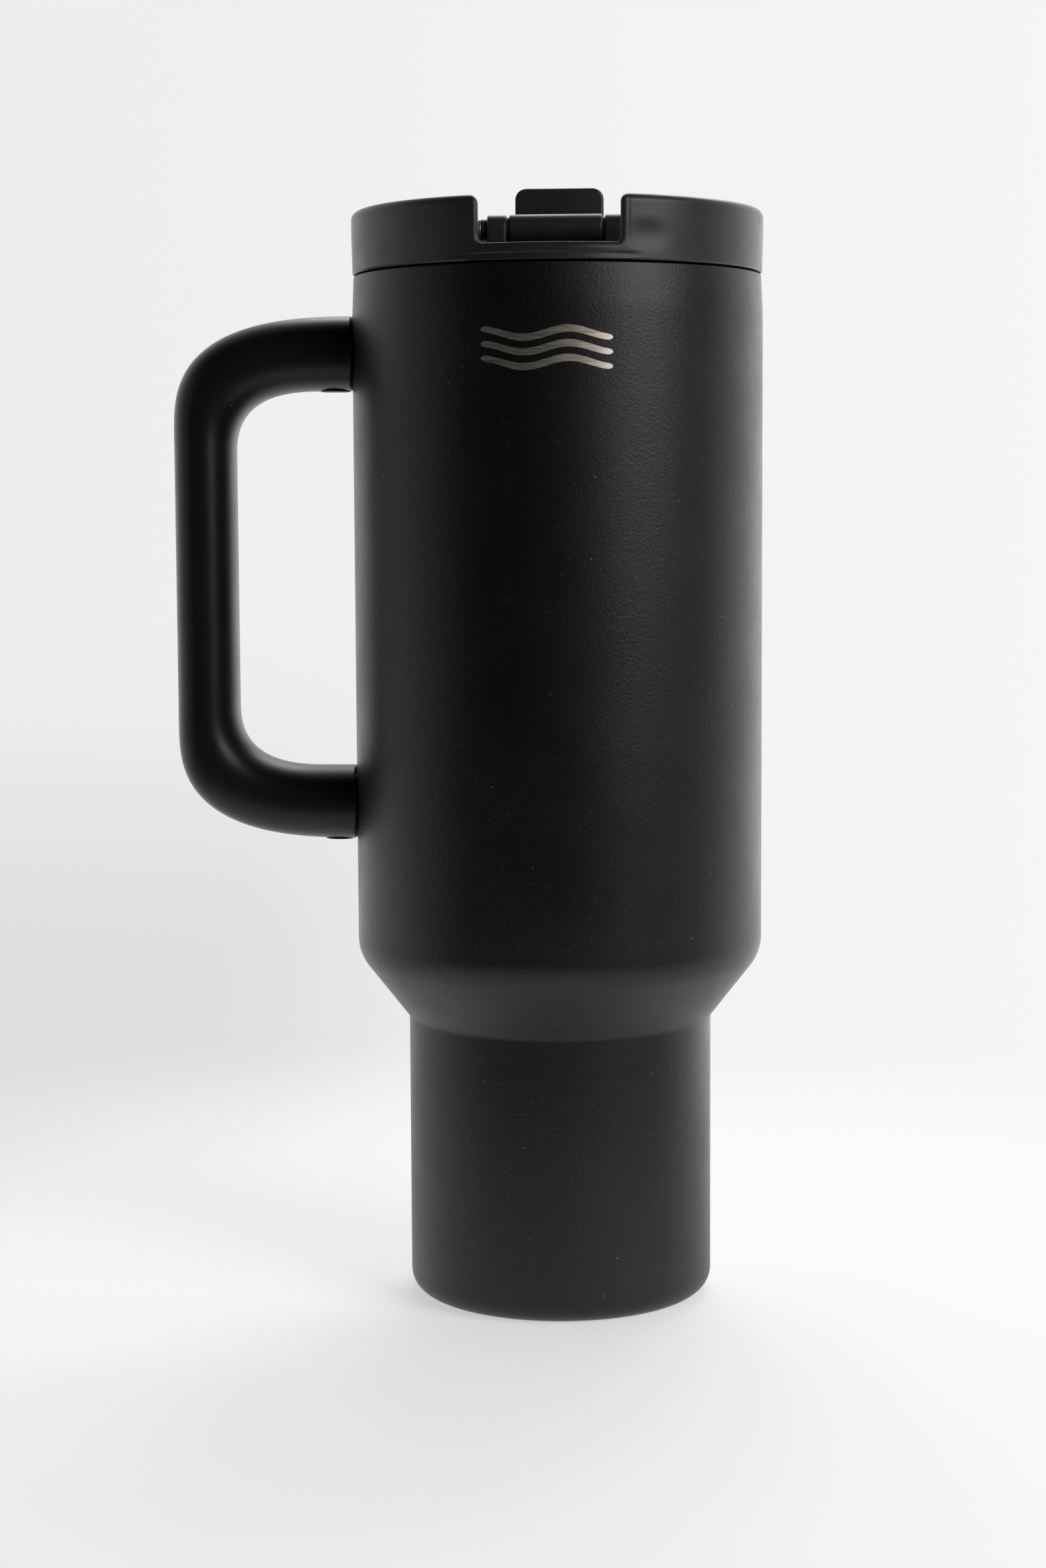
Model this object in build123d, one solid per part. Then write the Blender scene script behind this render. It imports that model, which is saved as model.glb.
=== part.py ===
from build123d import *

import os
from math import atan2, pi, tan

# Insulated travel mug, in millimetres. The origin is the centre of the base's underside,
# +Z is up, the lid's notch faces -Y and the handle stands out towards -X.

# ---------------------------------------------------------------- driving dimensions
# Vessel
BODY_R = 50.0               # straight upper body
BASE_R = 37.5               # lower body, narrow enough for a cup holder
NECK_Z = 69.7               # where the cone meets the lower body
SHOULDER_Z = 85.7           # where the cone meets the upper body
TAPER_Z = 242.8             # the shell draws in slightly above this height
TAPER_IN = 0.3
MOUTH_Z = 250.8             # top of the steel mouth
FOOT_FILLET = 5.5
NECK_FILLET = 2.5
SHOULDER_FILLET = 11.0
SHELL_WALL = 0.6
LINER_WALL = 0.5
VACUUM_GAP = 2.7
LINER_FLOOR_Z = 7.5         # underside of the inner vessel's floor
LINER_FLOOR_R = 29.0        # welded disc in that floor
BASE_DISC_R = 30.4
BASE_DISC_T = 0.8
STAMP_R = 22.0              # stamped ring in the base disc
STAMP_W = 2.0
STAMP_DEPTH = 0.25
CLOSING_R = 35.6            # disc that closes the vacuum space
CLOSING_Z0 = 3.2
CLOSING_Z1 = 3.9
DIMPLE_R = 3.6
DIMPLE_WALL = 1.4
DIMPLE_Z0 = 2.4
EVACUATION_R = 1.2
GLASS_PLAY = 0.1            # air between the glass bead and its dimple
GETTER_R = 5.0
GETTER_T = 2.3
GETTER_X = 18.0
SMALL_ROUND = 0.4           # rounding of glass, silicone and sintered edges
CONE_HALF_TAN = tan(atan2(BODY_R - BASE_R, SHOULDER_Z - NECK_Z) / 2)

# Lid thread: two starts, right-handed
LEAD = 8.0
STARTS = 2
THREAD_Z = 238.6
THREAD_RISE = 5.6           # height that each start climbs
THREAD_ROOT_W = 1.5         # axial width at the wall
THREAD_CREST_W = 0.8
THREAD_SINK = 0.2           # depth of a rib's root inside its wall
MALE_CREST_R = 45.9
FEMALE_CREST_R = 45.2

# Lid
SEAM = 0.5                  # dark line between mouth and collar
COLLAR_Z0 = MOUTH_Z + SEAM
COLLAR_Z1 = 266.3
COLLAR_IN_R = 46.5
COLLAR_FILLET = 2.9
DECK_TOP = 254.5
DECK_T = 2.0
SKIRT_R = 44.8
SKIRT_IN_R = 42.8
SKIRT_Z0 = 236.0
LINER_HOLE_R = 30.0
NOTCH_HALF = 16.3
NOTCH_Z = 255.2
NOTCH_TOP_ROUND = 2.0
NOTCH_LOW_ROUND = 2.5
NOTCH_BACK_Y = -42.0        # the cut reaches from in front of the collar to here
NOTCH_FRONT_Y = -56.0
LID_OVERLAP = 0.5           # depth to which joined stretches of the lid run into each other
GASKET_Z = 246.3
GASKET_H = 2.9
GASKET_R = 45.9
BEAD_R = 45.5
BEAD_Z0 = 245.6
BEAD_Z1 = 246.2
LINER_PLAY = 0.1            # air between the liner's flange and the collar

# Flap and its hinge, along X
HINGE_Y = -6.0
HINGE_Z = 261.8
BARREL_R = 3.65
BARREL_HALF = 11.5
KNUCKLE_R = 3.35
KNUCKLE_X0 = 12.5
KNUCKLE_X1 = 16.8
BOSS_R = 2.6
BOSS_X1 = 18.0
PIN_R = 1.5
PIN_END = 1.2               # length of pin beyond each boss
PIN_CAP_R = 2.8
PIN_CAP_X1 = 20.0
PIN_CAP_DOME = 1.6
BORE_PLAY = 0.05
PLATE_HALF = 11.0
PLATE_BACK_Y = 17.5
PLATE_Z0 = 259.6
PLATE_Z1 = 262.4
TAB_Z1 = 273.9
TAB_T = 2.6
TAB_CORNER = 2.8

# Straw port, behind the hinge
PORT_Y = 6.0
PORT_R = 5.5
PORT_SEAL_WALL = 1.3
PORT_LIP_R = 8.6
PORT_LIP_Z = 257.6
STOPPER_GAP = 0.4           # air between the port's lip and the closed stopper
STOPPER_RIM = 1.0           # width of lip outside the stopper
PLUG_TIP_R = 3.8
PLUG_TOP_R = 4.8
PLUG_H = 1.8
VENT_XY = (22.0, 16.0)
VENT_R = 2.0
VENT_CAP_R = 3.2
VENT_CAP_T = 1.2
VENT_CAP_ROUND = 0.8

# Handle
HANDLE_MID_Z = 177.7
HANDLE_OUT_X = 94.5
HANDLE_IN_X = 79.4
HANDLE_TOP = 64.6           # outer edge above mid height, at the wall
HANDLE_FALL = 2.4           # how much lower that edge ends at the corner
ARM_UNDER = 46.0            # arm's inner edge above mid height
HANDLE_WIDTH = 22.0
HANDLE_ROUND = 6.6
OUTER_BEND = 25.0
INNER_BEND = 13.0
ARM_Z = 55.1                # centre of each arm above or below mid height
ROOT_X = -44.0              # the outline's flat end, inside the body before it is cut away

# Handle fixings
SCREW_X = -54.5
SCREW_R = 2.0
SCREW_HEAD_R = 3.2
SCREW_HEAD_T = 1.9
SCREW_HEAD_UP = 2.0         # head's underside above the arm's underside
DRIVE_HALF = 2.2            # cross recess
DRIVE_WIDTH = 1.0
DRIVE_DEPTH = 0.9
SCREW_END = 2.0             # height of the screw's tip above the arm's centre
HOLE_END = 2.5              # height of the bracket's blind hole above the same
COVER_R = 3.8
COVER_T = 2.1
COVER_PROUD = 0.3           # how far a cover stands out of the arm
COVER_CHAMFER = 0.3
WELL_DEPTH = 4.0
SADDLE_HALF = 7.0           # bracket's saddle, along Y and Z
SADDLE_T = 1.2
TONGUE_X = -66.0
TONGUE_HALF_Y = 4.5
TONGUE_HALF_Z = 3.5
SOCKET_PLAY = 0.2           # air around the bracket inside the arm

STEEL_EPS = 0.05            # air between parts that are welded or pushed together


# ---------------------------------------------------------------- helpers
def turned(outline):
    """Solid of revolution about Z from a closed outline given in radius and height."""
    return revolve(Plane.XZ * make_face(outline), Axis.Z)


def ring(r_in, r_out, z0, z1):
    """Plain ring between two radii and two heights; a disc when the inner radius is 0."""
    height = z1 - z0
    solid = Pos(0, 0, z0) * Cylinder(r_out, height, align=(Align.CENTER, Align.CENTER, Align.MIN))
    if r_in > 0:
        solid -= Pos(0, 0, z0) * Cylinder(r_in, height, align=(Align.CENTER, Align.CENTER, Align.MIN))
    return solid


def rod_x(radius, x0, x1):
    """Cylinder along X on the hinge axis."""
    length = x1 - x0
    return Pos((x0 + x1) / 2, HINGE_Y, HINGE_Z) * Rot(0, 90, 0) * Cylinder(radius, length)


def block(x0, x1, y0, y1, z0, z1):
    """Box between two corners."""
    return Pos((x0 + x1) / 2, (y0 + y1) / 2, (z0 + z1) / 2) * Box(x1 - x0, y1 - y0, z1 - z0)


def body_profile(inset, floor_z, top_z):
    """Filled profile of the mug's outline, moved inward by inset, from its floor to its top.

    The cone's corners slide up by the inset times the tangent of half the cone's slope, so
    the inner outline stays parallel to the outer one.
    """
    slide = inset * CONE_HALF_TAN
    points = [
        (0, floor_z),
        (BASE_R - inset, floor_z),
        (BASE_R - inset, NECK_Z + slide),
        (BODY_R - inset, SHOULDER_Z + slide),
        (BODY_R - inset, TAPER_Z),
        (BODY_R - inset - TAPER_IN, top_z),
        (0, top_z),
    ]
    radii = [FOOT_FILLET - min(inset, 1.0), NECK_FILLET + inset, SHOULDER_FILLET - inset, 0, 0]
    line = FilletPolyline(*points, radius=radii)
    return line + Line(points[-1], points[0])


def thread(wall_r, crest_r, phase):
    """Helical ribs on a wall, their trapezoid section sunk slightly into it."""
    outward = 1 if crest_r > wall_r else -1
    root_r = wall_r - THREAD_SINK * outward
    ribs = []
    for start in range(STARTS):
        turn = phase + 360 * start / STARTS
        path = Helix(pitch=LEAD, height=THREAD_RISE, radius=wall_r)
        section = Polyline(
            (root_r, 0, -THREAD_ROOT_W / 2),
            (crest_r, 0, -THREAD_CREST_W / 2),
            (crest_r, 0, THREAD_CREST_W / 2),
            (root_r, 0, THREAD_ROOT_W / 2),
            close=True,
        )
        rib = sweep(make_face(section), path=path, is_frenet=True)
        ribs.append(Pos(0, 0, THREAD_Z) * Rot(0, 0, turn) * rib)
    return ribs


# ---------------------------------------------------------------- vessel
def parted(solid, seam_z):
    """The two pieces of a shell, above and below the weld at its neck."""
    upper = solid & block(-BODY_R, BODY_R, -BODY_R, BODY_R, seam_z, MOUTH_Z)
    lower = solid & block(-BODY_R, BODY_R, -BODY_R, BODY_R, 0, seam_z)
    return upper, lower


def outer_shells():
    """Painted outer wall in two pieces, open at the mouth and at the base disc."""
    solid = turned(body_profile(0, 0, MOUTH_Z))
    solid -= turned(body_profile(SHELL_WALL, SHELL_WALL, MOUTH_Z + 1))
    solid -= ring(0, BASE_DISC_R + STEEL_EPS, -1, 2)
    return parted(solid, NECK_Z)


def inner_vessels():
    """Steel cup that holds the drink: upper wall with its thread, lower wall, floor disc."""
    outside = SHELL_WALL + VACUUM_GAP
    inside = outside + LINER_WALL
    solid = turned(body_profile(outside, LINER_FLOOR_Z, MOUTH_Z))
    solid += ring(0, BODY_R - TAPER_IN - SHELL_WALL - STEEL_EPS, MOUTH_Z - SHELL_WALL, MOUTH_Z)
    solid -= turned(body_profile(inside, LINER_FLOOR_Z + LINER_WALL, TAPER_Z))
    wall_r = BODY_R - inside
    solid -= ring(0, wall_r, TAPER_Z - 1, MOUTH_Z + 1)
    for rib in thread(wall_r, FEMALE_CREST_R, 90):
        solid += rib
    upper, lower = parted(solid, NECK_Z + inside * CONE_HALF_TAN)
    floor_z = LINER_FLOOR_Z + LINER_WALL
    disc = ring(0, LINER_FLOOR_R - STEEL_EPS, LINER_FLOOR_Z, floor_z)
    return upper, lower - ring(0, LINER_FLOOR_R, 0, floor_z), disc


def vacuum_base():
    """Pressed disc that closes the vacuum space, with a dimpled evacuation hole."""
    solid = ring(0, CLOSING_R, CLOSING_Z0, CLOSING_Z1)
    solid += ring(0, DIMPLE_R + DIMPLE_WALL, DIMPLE_Z0, CLOSING_Z1)
    solid -= ring(0, DIMPLE_R, 0, CLOSING_Z0)
    solid -= ring(0, EVACUATION_R, 0, CLOSING_Z1 + 1)
    return solid


def vacuum_seal():
    """Bead of sealing glass in the evacuation hole's dimple."""
    bead = ring(0, DIMPLE_R - GLASS_PLAY, DIMPLE_Z0 + GLASS_PLAY, CLOSING_Z0 - STEEL_EPS)
    return fillet(bead.edges().filter_by(GeomType.CIRCLE).group_by(Axis.Z)[0], SMALL_ROUND)


def getter():
    """Getter pill on the vacuum side of the closing disc."""
    pill = ring(0, GETTER_R, CLOSING_Z1 + STEEL_EPS, CLOSING_Z1 + GETTER_T)
    return Pos(GETTER_X, 0, 0) * chamfer(pill.edges().group_by(Axis.Z)[-1], SMALL_ROUND)


def base_disc():
    """Cover disc flush with the underside, with one stamped ring."""
    solid = ring(0, BASE_DISC_R, 0, BASE_DISC_T)
    return solid - ring(STAMP_R, STAMP_R + STAMP_W, -1, STAMP_DEPTH)


# ---------------------------------------------------------------- handle
def handle_solid():
    """Bent grip of rounded section, cut to sit on the body, before its sockets are made."""
    top, out_top = HANDLE_TOP, HANDLE_TOP - HANDLE_FALL
    points = [
        (ROOT_X, HANDLE_MID_Z + top),
        (-HANDLE_OUT_X, HANDLE_MID_Z + out_top),
        (-HANDLE_OUT_X, HANDLE_MID_Z - out_top),
        (ROOT_X, HANDLE_MID_Z - top),
        (ROOT_X, HANDLE_MID_Z - ARM_UNDER),
        (-HANDLE_IN_X, HANDLE_MID_Z - ARM_UNDER),
        (-HANDLE_IN_X, HANDLE_MID_Z + ARM_UNDER),
        (ROOT_X, HANDLE_MID_Z + ARM_UNDER),
    ]
    radii = [0, OUTER_BEND, OUTER_BEND, 0, 0, INNER_BEND, INNER_BEND, 0]
    outline = FilletPolyline(*points, radius=radii, close=True)
    solid = extrude(Plane.XZ * make_face(outline), HANDLE_WIDTH / 2, both=True)
    sides = solid.faces().filter_by(Plane.XZ)
    rims = [edge for face in sides for edge in face.edges() if edge.center().X < ROOT_X - 0.01]
    solid = fillet(rims, HANDLE_ROUND)
    return solid - ring(0, BODY_R, 0, MOUTH_Z)


def saddle_and_tongue(arm_z, grow):
    """The bracket's curved saddle and its tongue, both larger by grow on each side."""
    half = SADDLE_HALF + grow
    curve = ring(BODY_R - grow, BODY_R + SADDLE_T + grow, arm_z - half, arm_z + half)
    saddle = curve & block(-BODY_R - 10, 0, -half, half, arm_z - half, arm_z + half)
    tongue_y, tongue_z = TONGUE_HALF_Y + grow, TONGUE_HALF_Z + grow
    inner_x = -BODY_R - SADDLE_T / 2
    tongue = block(TONGUE_X - grow, inner_x, -tongue_y, tongue_y, arm_z - tongue_z, arm_z + tongue_z)
    return saddle + tongue


def socket(arm_z):
    """Space in one arm for its bracket, its screw and the screw's cover."""
    floor_z = screw_floor(arm_z)
    shank = ring(0, SCREW_R + SOCKET_PLAY, floor_z + SCREW_HEAD_UP, arm_z)
    well = ring(0, COVER_R + STEEL_EPS, floor_z - 1, floor_z + WELL_DEPTH)
    return saddle_and_tongue(arm_z, SOCKET_PLAY) + Pos(SCREW_X, 0, 0) * (shank + well)


def handle():
    """Moulded handle with a socket in each arm."""
    solid = handle_solid()
    for arm_z in arm_heights():
        solid -= socket(arm_z)
    return solid


def arm_heights():
    """Centre height of the upper arm and of the lower arm."""
    return HANDLE_MID_Z + ARM_Z, HANDLE_MID_Z - ARM_Z


def screw_floor(arm_z):
    """Height of the arm's underside where its screw goes in.

    The lower arm's underside is the handle's outer edge, which rises a little outward.
    """
    if arm_z > HANDLE_MID_Z:
        return HANDLE_MID_Z + ARM_UNDER
    slope = HANDLE_FALL / (HANDLE_OUT_X + ROOT_X)
    return HANDLE_MID_Z - HANDLE_TOP + slope * (ROOT_X - SCREW_X)


def bracket(arm_z):
    """Saddle welded to the body with a tongue that fills the arm's socket."""
    hole = ring(0, SCREW_R + STEEL_EPS, arm_z - TONGUE_HALF_Z - 1, arm_z + HOLE_END)
    return saddle_and_tongue(arm_z, 0) - Pos(SCREW_X, 0, 0) * hole


def handle_screw(arm_z):
    """Pan-head screw that goes up through the arm into the bracket's tongue."""
    head_z = screw_floor(arm_z) + SCREW_HEAD_UP
    head = ring(0, SCREW_HEAD_R, head_z, head_z + SCREW_HEAD_T)
    long, short = DRIVE_HALF, DRIVE_WIDTH / 2
    head -= block(-short, short, -long, long, head_z - 1, head_z + DRIVE_DEPTH)
    head -= block(-long, long, -short, short, head_z - 1, head_z + DRIVE_DEPTH)
    shank = ring(0, SCREW_R, head_z + SCREW_HEAD_T, arm_z + SCREW_END)
    return Pos(SCREW_X, 0, 0) * (head + shank)


def screw_cover(arm_z):
    """Soft plug that hides a screw and stands slightly out of the arm's underside."""
    floor_z = screw_floor(arm_z) - COVER_PROUD
    plug = ring(0, COVER_R, floor_z, floor_z + COVER_T)
    return Pos(SCREW_X, 0, 0) * chamfer(plug.edges().group_by(Axis.Z)[0], COVER_CHAMFER)


# ---------------------------------------------------------------- lid
def notch_cutter():
    """Block that opens the collar's front, with rounded top and bottom corners."""
    above = COLLAR_Z1 + STEEL_EPS
    over = above + NOTCH_TOP_ROUND + 1
    wide = NOTCH_HALF + 2 * NOTCH_TOP_ROUND
    points = [
        (-wide, over),
        (-wide, above),
        (-NOTCH_HALF, above),
        (-NOTCH_HALF, NOTCH_Z),
        (NOTCH_HALF, NOTCH_Z),
        (NOTCH_HALF, above),
        (wide, above),
        (wide, over),
    ]
    top, low = NOTCH_TOP_ROUND, NOTCH_LOW_ROUND
    outline = FilletPolyline(*points, radius=[0, 0, top, low, low, top, 0, 0], close=True)
    depth = NOTCH_BACK_Y - NOTCH_FRONT_Y
    return Pos(0, NOTCH_BACK_Y, 0) * extrude(Plane.XZ * make_face(outline), depth)


def knuckle_post(side):
    """One of the lid's two hinge posts: a round knuckle, its post and its end boss."""
    x0, x1 = sorted((side * KNUCKLE_X0, side * KNUCKLE_X1))
    b0, b1 = sorted((side * (KNUCKLE_X1 - LID_OVERLAP), side * BOSS_X1))
    post = block(x0, x1, HINGE_Y - KNUCKLE_R, HINGE_Y + KNUCKLE_R, DECK_TOP - LID_OVERLAP, HINGE_Z)
    return rod_x(KNUCKLE_R, x0, x1) + rod_x(BOSS_R, b0, b1) + post


def lid_body():
    """Collar, recessed deck, hinge posts and the straw port's raised lip."""
    collar_line = FilletPolyline(
        (COLLAR_IN_R, COLLAR_Z0),
        (BODY_R, COLLAR_Z0),
        (BODY_R, COLLAR_Z1),
        (COLLAR_IN_R, COLLAR_Z1),
        radius=[SMALL_ROUND, COLLAR_FILLET, SMALL_ROUND, 0],
        close=True,
    )
    solid = turned(collar_line)
    solid += ring(0, COLLAR_IN_R + LID_OVERLAP, DECK_TOP - DECK_T, DECK_TOP)
    solid -= notch_cutter()
    solid += Pos(0, PORT_Y, 0) * ring(0, PORT_LIP_R, DECK_TOP - LID_OVERLAP, PORT_LIP_Z)
    solid -= Pos(0, PORT_Y, 0) * ring(0, PORT_R + PORT_SEAL_WALL, COLLAR_Z0, PORT_LIP_Z + 1)
    for side in (-1, 1):
        solid += knuckle_post(side)
    solid -= rod_x(PIN_R, -BOSS_X1 - 1, BOSS_X1 + 1)
    solid -= Pos(*VENT_XY, 0) * ring(0, VENT_R, COLLAR_Z0, DECK_TOP + 1)
    return solid


def lid_liner():
    """Threaded skirt under the deck, with a bead that keeps the gasket in place."""
    solid = ring(LINER_HOLE_R, COLLAR_IN_R - LINER_PLAY, COLLAR_Z0, DECK_TOP - DECK_T)
    solid += ring(SKIRT_IN_R, SKIRT_R, SKIRT_Z0, COLLAR_Z0)
    solid += ring(SKIRT_IN_R, BEAD_R, BEAD_Z0, BEAD_Z1)
    for rib in thread(SKIRT_R, MALE_CREST_R, 0):
        solid += rib
    return solid


def lid_gasket():
    """Silicone ring between the skirt and the inner vessel's neck."""
    line = FilletPolyline(
        (SKIRT_R + STEEL_EPS, GASKET_Z),
        (GASKET_R, GASKET_Z),
        (GASKET_R, GASKET_Z + GASKET_H),
        (SKIRT_R + STEEL_EPS, GASKET_Z + GASKET_H),
        radius=[0, SMALL_ROUND, SMALL_ROUND, 0],
        close=True,
    )
    return turned(line)


def port_seal():
    """Silicone grommet that lines the straw port."""
    seal = ring(PORT_R, PORT_R + PORT_SEAL_WALL - STEEL_EPS, COLLAR_Z0, PORT_LIP_Z)
    return Pos(0, PORT_Y, 0) * seal


def vent_valve():
    """Small silicone valve that lets air in as the mug is drunk from."""
    stem = ring(0, VENT_R - STEEL_EPS, COLLAR_Z0, DECK_TOP)
    cap = ring(0, VENT_CAP_R, DECK_TOP, DECK_TOP + VENT_CAP_T)
    cap = fillet(cap.edges().group_by(Axis.Z)[-1], VENT_CAP_ROUND)
    return Pos(*VENT_XY, 0) * (stem + cap)


def flap():
    """Barrel, plate and upright finger tab that turn together on the pin."""
    barrel = rod_x(BARREL_R, -BARREL_HALF, BARREL_HALF)
    plate = block(-PLATE_HALF, PLATE_HALF, HINGE_Y, PLATE_BACK_Y, PLATE_Z0, PLATE_Z1)
    outline = FilletPolyline(
        (-PLATE_HALF, PLATE_Z0),
        (PLATE_HALF, PLATE_Z0),
        (PLATE_HALF, TAB_Z1),
        (-PLATE_HALF, TAB_Z1),
        radius=[0, 0, TAB_CORNER, TAB_CORNER],
        close=True,
    )
    tab = Pos(0, PLATE_BACK_Y, 0) * extrude(Plane.XZ * make_face(outline), TAB_T)
    solid = barrel + plate + tab
    solid -= rod_x(PIN_R + BORE_PLAY, -BARREL_HALF - 1, BARREL_HALF + 1)
    return solid


def flap_seal():
    """Silicone stopper under the flap that closes the straw port."""
    disc_z = PORT_LIP_Z + STOPPER_GAP
    disc = ring(0, PORT_LIP_R - STOPPER_RIM, disc_z, PLATE_Z0)
    plug = Pos(0, 0, disc_z - PLUG_H / 2) * Cone(PLUG_TIP_R, PLUG_TOP_R, PLUG_H)
    return Pos(0, PORT_Y, 0) * (disc + plug)


def hinge_pin():
    """Steel pin through both posts and the barrel."""
    return rod_x(PIN_R, -BOSS_X1 - PIN_END, BOSS_X1 + PIN_END)


def pin_cap(side):
    """Domed push-on cap at one end of the pin."""
    x0, x1 = sorted((side * (BOSS_X1 + STEEL_EPS), side * PIN_CAP_X1))
    cap = rod_x(PIN_CAP_R, x0, x1)
    outer = cap.edges().filter_by(GeomType.CIRCLE).sort_by(Axis.X)
    cap = fillet(outer[-1] if side > 0 else outer[0], PIN_CAP_DOME)
    s0, s1 = sorted((side * BOSS_X1, side * (BOSS_X1 + PIN_END + STEEL_EPS)))
    return cap - rod_x(PIN_R + STEEL_EPS / 2, s0, s1)


# ---------------------------------------------------------------- export
def main():
    """Write one STEP file for each node."""
    upper_z, lower_z = arm_heights()
    outer_shell, outer_base = outer_shells()
    inner_vessel, inner_base, inner_floor = inner_vessels()
    nodes = {
        "outer_shell": outer_shell,
        "outer_base": outer_base,
        "inner_vessel": inner_vessel,
        "inner_base": inner_base,
        "inner_floor": inner_floor,
        "vacuum_base": vacuum_base(),
        "vacuum_seal": vacuum_seal(),
        "getter": getter(),
        "base_disc": base_disc(),
        "handle": handle(),
        "upper_bracket": bracket(upper_z),
        "lower_bracket": bracket(lower_z),
        "upper_screw": handle_screw(upper_z),
        "lower_screw": handle_screw(lower_z),
        "upper_screw_cover": screw_cover(upper_z),
        "lower_screw_cover": screw_cover(lower_z),
        "lid_body": lid_body(),
        "lid_liner": lid_liner(),
        "lid_gasket": lid_gasket(),
        "port_seal": port_seal(),
        "vent_valve": vent_valve(),
        "flap": flap(),
        "flap_seal": flap_seal(),
        "hinge_pin": hinge_pin(),
        "left_pin_cap": pin_cap(-1),
        "right_pin_cap": pin_cap(1),
    }
    os.makedirs("parts", exist_ok=True)
    for name, solid in nodes.items():
        export_step(solid, f"parts/{name}.step")


main()
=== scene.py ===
import logging
from dataclasses import dataclass, field
from enum import Enum
from math import atan2, pi, radians, tan
from typing import Callable, Optional, Sequence

import bmesh
import bpy
import numpy as np
from mathutils import Matrix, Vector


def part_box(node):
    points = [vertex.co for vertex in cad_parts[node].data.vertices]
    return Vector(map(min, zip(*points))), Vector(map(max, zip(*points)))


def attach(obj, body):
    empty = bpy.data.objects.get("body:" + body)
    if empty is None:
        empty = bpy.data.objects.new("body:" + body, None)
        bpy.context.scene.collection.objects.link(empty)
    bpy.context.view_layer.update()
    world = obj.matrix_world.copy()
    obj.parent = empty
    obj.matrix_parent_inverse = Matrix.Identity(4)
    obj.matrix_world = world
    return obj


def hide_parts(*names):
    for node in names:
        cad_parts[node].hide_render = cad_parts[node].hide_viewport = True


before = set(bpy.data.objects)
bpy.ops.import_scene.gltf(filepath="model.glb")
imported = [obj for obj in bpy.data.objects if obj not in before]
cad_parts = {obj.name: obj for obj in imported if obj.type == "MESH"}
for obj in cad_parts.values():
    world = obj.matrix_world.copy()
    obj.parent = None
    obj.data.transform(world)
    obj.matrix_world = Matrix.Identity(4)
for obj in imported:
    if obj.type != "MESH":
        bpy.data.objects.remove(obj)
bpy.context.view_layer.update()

log = logging.getLogger("travel_mug")

Array = np.ndarray
Tree = bpy.types.ShaderNodeTree
Socket = bpy.types.NodeSocket

MM = 0.001                  # shapes are worked out in millimetres and stored in metres
TURN = 2 * pi


# ------------------------------------------------------------------ shape helpers
def span(node: str) -> tuple[Array, Array]:
    """Give the lowest and highest corners of a node of the frame, in millimetres.

    Args:
        node: The node's name.

    Returns:
        Two arrays of three numbers.
    """
    low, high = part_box(node)
    return np.array(low) / MM, np.array(high) / MM


def ease(low: float, high: float, value: Array) -> Array:
    """Rise smoothly from 0 at low to 1 at high: 3t^2 - 2t^3 of the clipped fraction t.

    Args:
        low: Where the rise starts.
        high: Where it ends; it may be the smaller one.
        value: Where it is wanted.

    Returns:
        The eased fraction for each value.
    """
    part = np.clip((np.asarray(value, float) - low) / (high - low), 0.0, 1.0)
    return part * part * (3.0 - 2.0 * part)


def quarter_round(radius: float, depth: Array) -> Array:
    """How far a rounded edge falls back at a distance from it: r - sqrt(r^2 - (r - d)^2).

    Args:
        radius: The edge's radius.
        depth: Distance from the edge, from 0; past the radius the fall is 0.

    Returns:
        The fall at each distance.
    """
    inside = np.clip(radius - depth, 0.0, radius)
    return radius - np.sqrt(np.maximum(radius**2 - inside**2, 0.0))


def rounded_line(corners: Sequence[tuple[float, float]], radii: Sequence[float], steps: int = 8) -> Array:
    """Round the corners of a flat line with tangent arcs.

    Each arc starts and ends r * tan(turn / 2) from its corner, and its points are the centre
    plus the radius turned through equal angles.

    Args:
        corners: The line's corners, first and last included.
        radii: One radius for each inner corner; 0 keeps it sharp.
        steps: Spans in each arc.

    Returns:
        The rounded line's points.
    """
    points = np.array(corners, float)
    pieces = [points[:1]]
    for before, corner, after, radius in zip(points[:-2], points[1:-1], points[2:], radii):
        if radius <= 0:
            pieces.append(corner[None])
            continue
        into = (corner - before) / np.linalg.norm(corner - before)
        out = (after - corner) / np.linalg.norm(after - corner)
        cross = into[0] * out[1] - into[1] * out[0]
        turn = atan2(cross, float(into @ out))
        reach = radius * tan(abs(turn) / 2)
        start = corner - into * reach
        side = np.array([-into[1], into[0]]) * np.sign(turn)
        angle = np.linspace(0.0, abs(turn), steps + 1)[:, None]
        pieces.append(start + side * radius * (1 - np.cos(angle)) + into * radius * np.sin(angle))
    pieces.append(points[-1:])
    return np.vstack(pieces)


def even(line: Array, count: int) -> Array:
    """Spread points evenly along a line, by its length from the start.

    Args:
        line: Points in any number of dimensions.
        count: How many points are wanted.

    Returns:
        The new points.
    """
    length = np.concatenate([[0.0], np.cumsum(np.linalg.norm(np.diff(line, axis=0), axis=1))])
    at = np.linspace(0.0, length[-1], count)
    return np.column_stack([np.interp(at, length, column) for column in line.T])


def filled(line: Array, gap: float) -> Array:
    """Add points to a line's long runs, so that no run is longer than the gap.

    Args:
        line: The line's points.
        gap: The longest run allowed.

    Returns:
        The line with its own points and the added ones.
    """
    runs = np.linalg.norm(np.diff(line, axis=0), axis=1)
    counts = np.maximum(np.ceil(runs / gap).astype(int), 1)
    first = np.repeat(np.arange(len(runs)), counts)
    part = (np.arange(counts.sum()) - np.repeat(np.cumsum(counts) - counts, counts)) / counts[first]
    points = line[first] + (line[first + 1] - line[first]) * part[:, None]
    return np.vstack([points, line[-1:]])


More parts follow.
